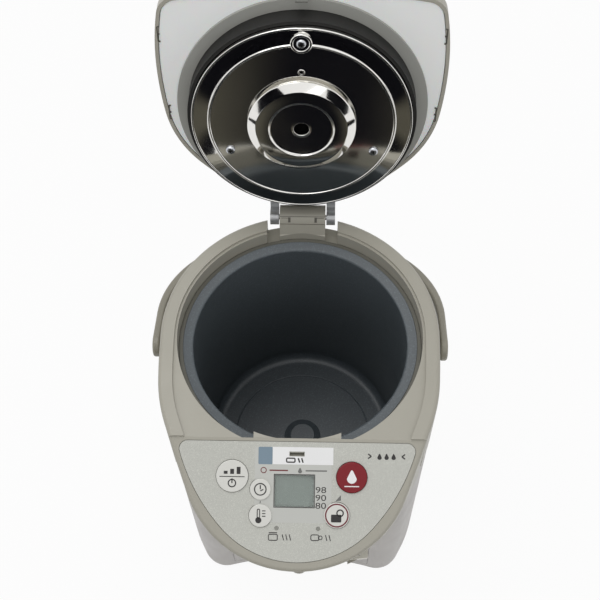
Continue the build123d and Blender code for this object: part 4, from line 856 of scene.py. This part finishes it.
class PanelPrint(bpy.types.Operator):
    """Prints the plate, the band, the scale and the pictograms on the control panel"""

    bl_idname = "thermo_pot.panel_print"
    bl_label = "Panel print"

    def execute(self, context):
        step = context.scene.pot_sizes.print_height
        blue = finish("blue print", (0.47, 0.545, 0.60), depth=0.003,
                      values={"Roughness": 0.3, "Clouding": 0.18})
        for name, material, layer, draw in (
            ("printed_plate", print_finish("plate tint", (0.765, 0.768, 0.748)), 0, tinted_plate),
            ("printed_band", white_print(), 1, white_band),
            ("printed_block", blue, 1, blue_block),
            ("printed_marks", dark_print(), 2, dark_marks),
            ("printed_red_marks", print_finish("red print", (0.42, 0.13, 0.15)), 1, red_marks),
            ("printed_grey_marks", print_finish("grey print", (0.42, 0.42, 0.41)), 1, grey_marks),
        ):
            printed(name, material, "pot", SHEET + layer * step, draw)
        self.scale_numbers(SHEET + step + 0.02)
        return {"FINISHED"}

    def scale_numbers(self, height):
        """The plain numbers beside the display."""
        text = bpy.data.curves.new("scale_numbers", "FONT")
        text.body = "98\n90\n80"
        text.space_line = 0.92
        text.extrude = 0.02
        holder = bpy.data.objects.new("scale_numbers", text)
        bpy.context.scene.collection.objects.link(holder)
        drawn = holder.evaluated_get(bpy.context.evaluated_depsgraph_get())
        bm = bmesh.new()
        bm.from_mesh(bpy.data.meshes.new_from_object(drawn))
        bpy.data.objects.remove(holder)
        left, low, right, high = NUMBERS
        xs, ys = ([v.co[axis] for v in bm.verts] for axis in (0, 1))
        wide, tall = (right - left) / (max(xs) - min(xs)), (high - low) / (max(ys) - min(ys))
        move = Matrix.Translation((left - min(xs) * wide, low - min(ys) * tall, 0))
        bmesh.ops.transform(bm, matrix=move @ Matrix.Diagonal((wide, tall, 1, 1)), verts=bm.verts)
        piece("printed_numbers", bm, dark_print(), "pot", on_panel(height))


class KeyMarks(bpy.types.Operator):
    """Prints a pictogram on each key, and the red ring of the unlocking key"""

    bl_idname = "thermo_pot.key_marks"
    bl_label = "Key marks"

    def execute(self, context):
        dark = dark_print()
        red = print_finish("ring print", (0.40, 0.08, 0.13))
        for name, material, body, slot, draw in (
            ("mark_mode", dark, "mode_key", "button_pale", mode_mark),
            ("mark_timer", dark, "timer_key", "button_pale", timer_mark),
            ("mark_temperature", dark, "temperature_key", "button_pale", temperature_mark),
            ("mark_dispense", white_print(), "dispense_key", "button_red", dispense_mark),
            ("ring_unlock", red, "unlock_key", "button_pale", unlock_ring),
            ("mark_unlock", dark, "unlock_key", "button_pale", unlock_mark),
        ):
            printed(name, material, body, KEY_TOP, draw, KEYS[body])
        return {"FINISHED"}


# ---------------------------------------------------------------- operator: stage
# The stage is in metres. The camera looks down by its pitch and aside by its yaw, and leans by
# its roll, in degrees.
CAMERA = (0.01636, -0.36723, 0.99813)
PITCH, YAW, ROLL = 61.42, -2.44, 1.36
FLOOR_HALF = 4
FLOOR_GLOW = 0.93  # the share of the floor's own light where it is the background
# The dark cloth: the middle and the size of the part that lies, then the radius, the height and
# the turn round the pot of the part that stands.
LYING, LYING_SIZE = (0, -1.7, 0.004), (1.9, 2.6)
STANDING, STANDING_HEIGHT, STANDING_TURN = 3.0, 2.2, 104
# Where the cloth turns brownish: aside, and between two distances ahead of the pot.
ASIDE, AHEAD = (0.03, 0.13), ((-1.05, -0.80), (-0.48, -0.62))
BLACK, BROWNISH = (0.007, 0.007, 0.009, 1), (0.110, 0.103, 0.080, 1)
# Each lamp's name, place, aim, size and share of the key light's power.
LAMPS = (
    ("overhead", (-0.35, 0.25, 1.7), (0, 0, 0.25), 1.1, 1.0),
    ("front", (0.5, -1.5, 1.1), (0, 0, 0.3), 0.9, 0.35),
)


class Stage(bpy.types.Operator):
    """Sets the camera, the floor and the soft light"""

    bl_idname = "thermo_pot.stage"
    bl_label = "Stage"

    def execute(self, context):
        settings = context.scene.pot_stage
        self.camera(context, settings)
        self.floor(context)
        self.dark_cloth(context)
        self.light(context, settings)
        context.scene.view_settings.view_transform = "Standard"
        return {"FINISHED"}

    def camera(self, context, settings):
        pitch, yaw, roll = radians(PITCH), radians(YAW), radians(ROLL)
        ahead = Vector((sin(yaw) * cos(pitch), cos(yaw) * cos(pitch), -sin(pitch)))
        level = Vector((cos(yaw), -sin(yaw), 0))
        down = ahead.cross(level)
        right = cos(roll) * level + sin(roll) * down
        down = cos(roll) * down - sin(roll) * level
        data = bpy.data.cameras.new("camera")
        data.lens = settings.lens
        data.clip_start = 0.01
        made = bpy.data.objects.new("camera", data)
        turn = Matrix((right, -down, -ahead)).transposed().to_4x4()
        made.matrix_world = Matrix.Translation(CAMERA) @ turn
        context.scene.collection.objects.link(made)
        context.scene.camera = made

    def put(self, context, name, bm, surface):
        """Puts a mesh on the stage."""
        mesh = bpy.data.meshes.new(name)
        bm.to_mesh(mesh)
        bm.free()
        mesh.materials.append(surface)
        made = bpy.data.objects.new(name, mesh)
        context.scene.collection.objects.link(made)

    def floor(self, context):
        surface, tree, matt = blank("pale floor")
        matt.inputs["Base Color"].default_value = (0.80, 0.80, 0.80, 1)
        matt.inputs["Roughness"].default_value = 0.7
        glow = node(tree, "Emission", {"Color": (1, 1, 1, 1), "Strength": 1.0})
        share = compute(tree, "MULTIPLY", self.seen(tree), FLOOR_GLOW)
        show(tree, share, matt.outputs[0], glow.outputs[0])
        bm = bmesh.new()
        bmesh.ops.create_grid(bm, x_segments=1, y_segments=1, size=FLOOR_HALF)
        self.put(context, "floor", bm, surface)

    def dark_cloth(self, context):
        """A dark cloth lying and standing ahead of the pot, seen only in mirroring surfaces."""
        cloth, tree, matt = blank("black cloth")
        place = node(tree, "SeparateXYZ", {0: node(tree, "TexCoord").outputs["Object"]}).outputs
        aside = compute(tree, "ABSOLUTE", place["X"])
        share, first, second = (
            node(tree, "MapRange", {0: value, 1: low, 2: high}, interpolation_type="SMOOTHSTEP")
            .outputs[0]
            for value, (low, high) in zip((aside, place["Y"], place["Y"]), (ASIDE, *AHEAD))
        )
        share = compute(tree, "MULTIPLY", compute(tree, "MULTIPLY", share, first), second)
        colour = node(tree, "MixRGB", {0: share, 1: BLACK, 2: BROWNISH}).outputs[0]
        tree.links.new(colour, matt.inputs["Base Color"])
        matt.inputs["Specular IOR Level"].default_value = 0.0
        mirrored = node(tree, "LightPath").outputs["Is Glossy Ray"]
        show(tree, mirrored, node(tree, "BsdfTransparent").outputs[0], matt.outputs[0])
        bm = bmesh.new()
        bmesh.ops.create_grid(
            bm, x_segments=1, y_segments=1, size=0.5,
            matrix=Matrix.Translation(LYING) @ Matrix.Diagonal((*LYING_SIZE, 1, 1)),
        )
        for vert in bmesh.ops.create_grid(bm, x_segments=24, y_segments=1, size=0.5)["verts"]:
            around, height = radians(STANDING_TURN) * vert.co.x, STANDING_HEIGHT * (vert.co.y + 0.5)
            vert.co = (STANDING * sin(around), -STANDING * cos(around), height)
        self.put(context, "black card", bm, cloth)

    def seen(self, tree):
        """1 for rays that show the background: the camera's, and those in metal and glass."""
        rays = node(tree, "LightPath").outputs
        direct = compute(tree, "MAXIMUM", rays["Is Camera Ray"], rays["Is Glossy Ray"])
        return compute(tree, "MAXIMUM", direct, rays["Is Transmission Ray"])

    def light(self, context, settings):
        world = bpy.data.worlds.new("studio")
        context.scene.world = world
        world.use_nodes = True
        tree = world.node_tree
        strength = node(tree, "MapRange", {0: self.seen(tree), 3: settings.sky, 4: 1.0}).outputs[0]
        sky = tree.nodes["Background"]
        sky.inputs["Color"].default_value = (1.0, 1.0, 1.0, 1.0)
        tree.links.new(strength, sky.inputs["Strength"])
        for name, place, aim, size, share in LAMPS:
            data = bpy.data.lights.new(name, "AREA")
            data.shape = "SQUARE"
            data.size = size
            data.energy = share * settings.key_light
            made = bpy.data.objects.new(name, data)
            made.location = place
            towards = Vector(aim) - Vector(place)
            made.rotation_euler = towards.to_track_quat("-Z", "Y").to_euler()
            context.scene.collection.objects.link(made)


class ThermoPotPanel(bpy.types.Panel):
    """The pot's settings and steps"""

    bl_label = "Thermo Pot"
    bl_idname = "VIEW3D_PT_thermo_pot"
    bl_space_type = "VIEW_3D"
    bl_region_type = "UI"
    bl_category = "Thermo Pot"

    def draw(self, context):
        for group in (context.scene.pot_colours, context.scene.pot_sizes, context.scene.pot_stage):
            column = self.layout.box()
            for name in group.__annotations__:
                column.prop(group, name)
        for step in STEPS:
            self.layout.operator(step.bl_idname)


STEPS = (
    ShellFinish, VesselFinish, LidFinish, MachineryFinish, PanelFinish,
    PolishedPlate, HingeDetail, BeakLug, LidClips, PanelPrint, KeyMarks, Stage,
)
CLASSES = (ThermoPotColours, ThermoPotSizes, ThermoPotStage, *STEPS, ThermoPotPanel)


def register():
    for each in CLASSES:
        bpy.utils.register_class(each)
    bpy.types.Scene.pot_colours = PointerProperty(type=ThermoPotColours)
    bpy.types.Scene.pot_sizes = PointerProperty(type=ThermoPotSizes)
    bpy.types.Scene.pot_stage = PointerProperty(type=ThermoPotStage)


def unregister():
    del bpy.types.Scene.pot_stage
    del bpy.types.Scene.pot_sizes
    del bpy.types.Scene.pot_colours
    for each in reversed(CLASSES):
        bpy.utils.unregister_class(each)


def main():
    """Registers the add-on, runs its steps in order and writes the sizes."""
    register()
    for step in STEPS:
        group, name = step.bl_idname.split(".")
        getattr(getattr(bpy.ops, group), name)()


if __name__ == "__main__":
    main()
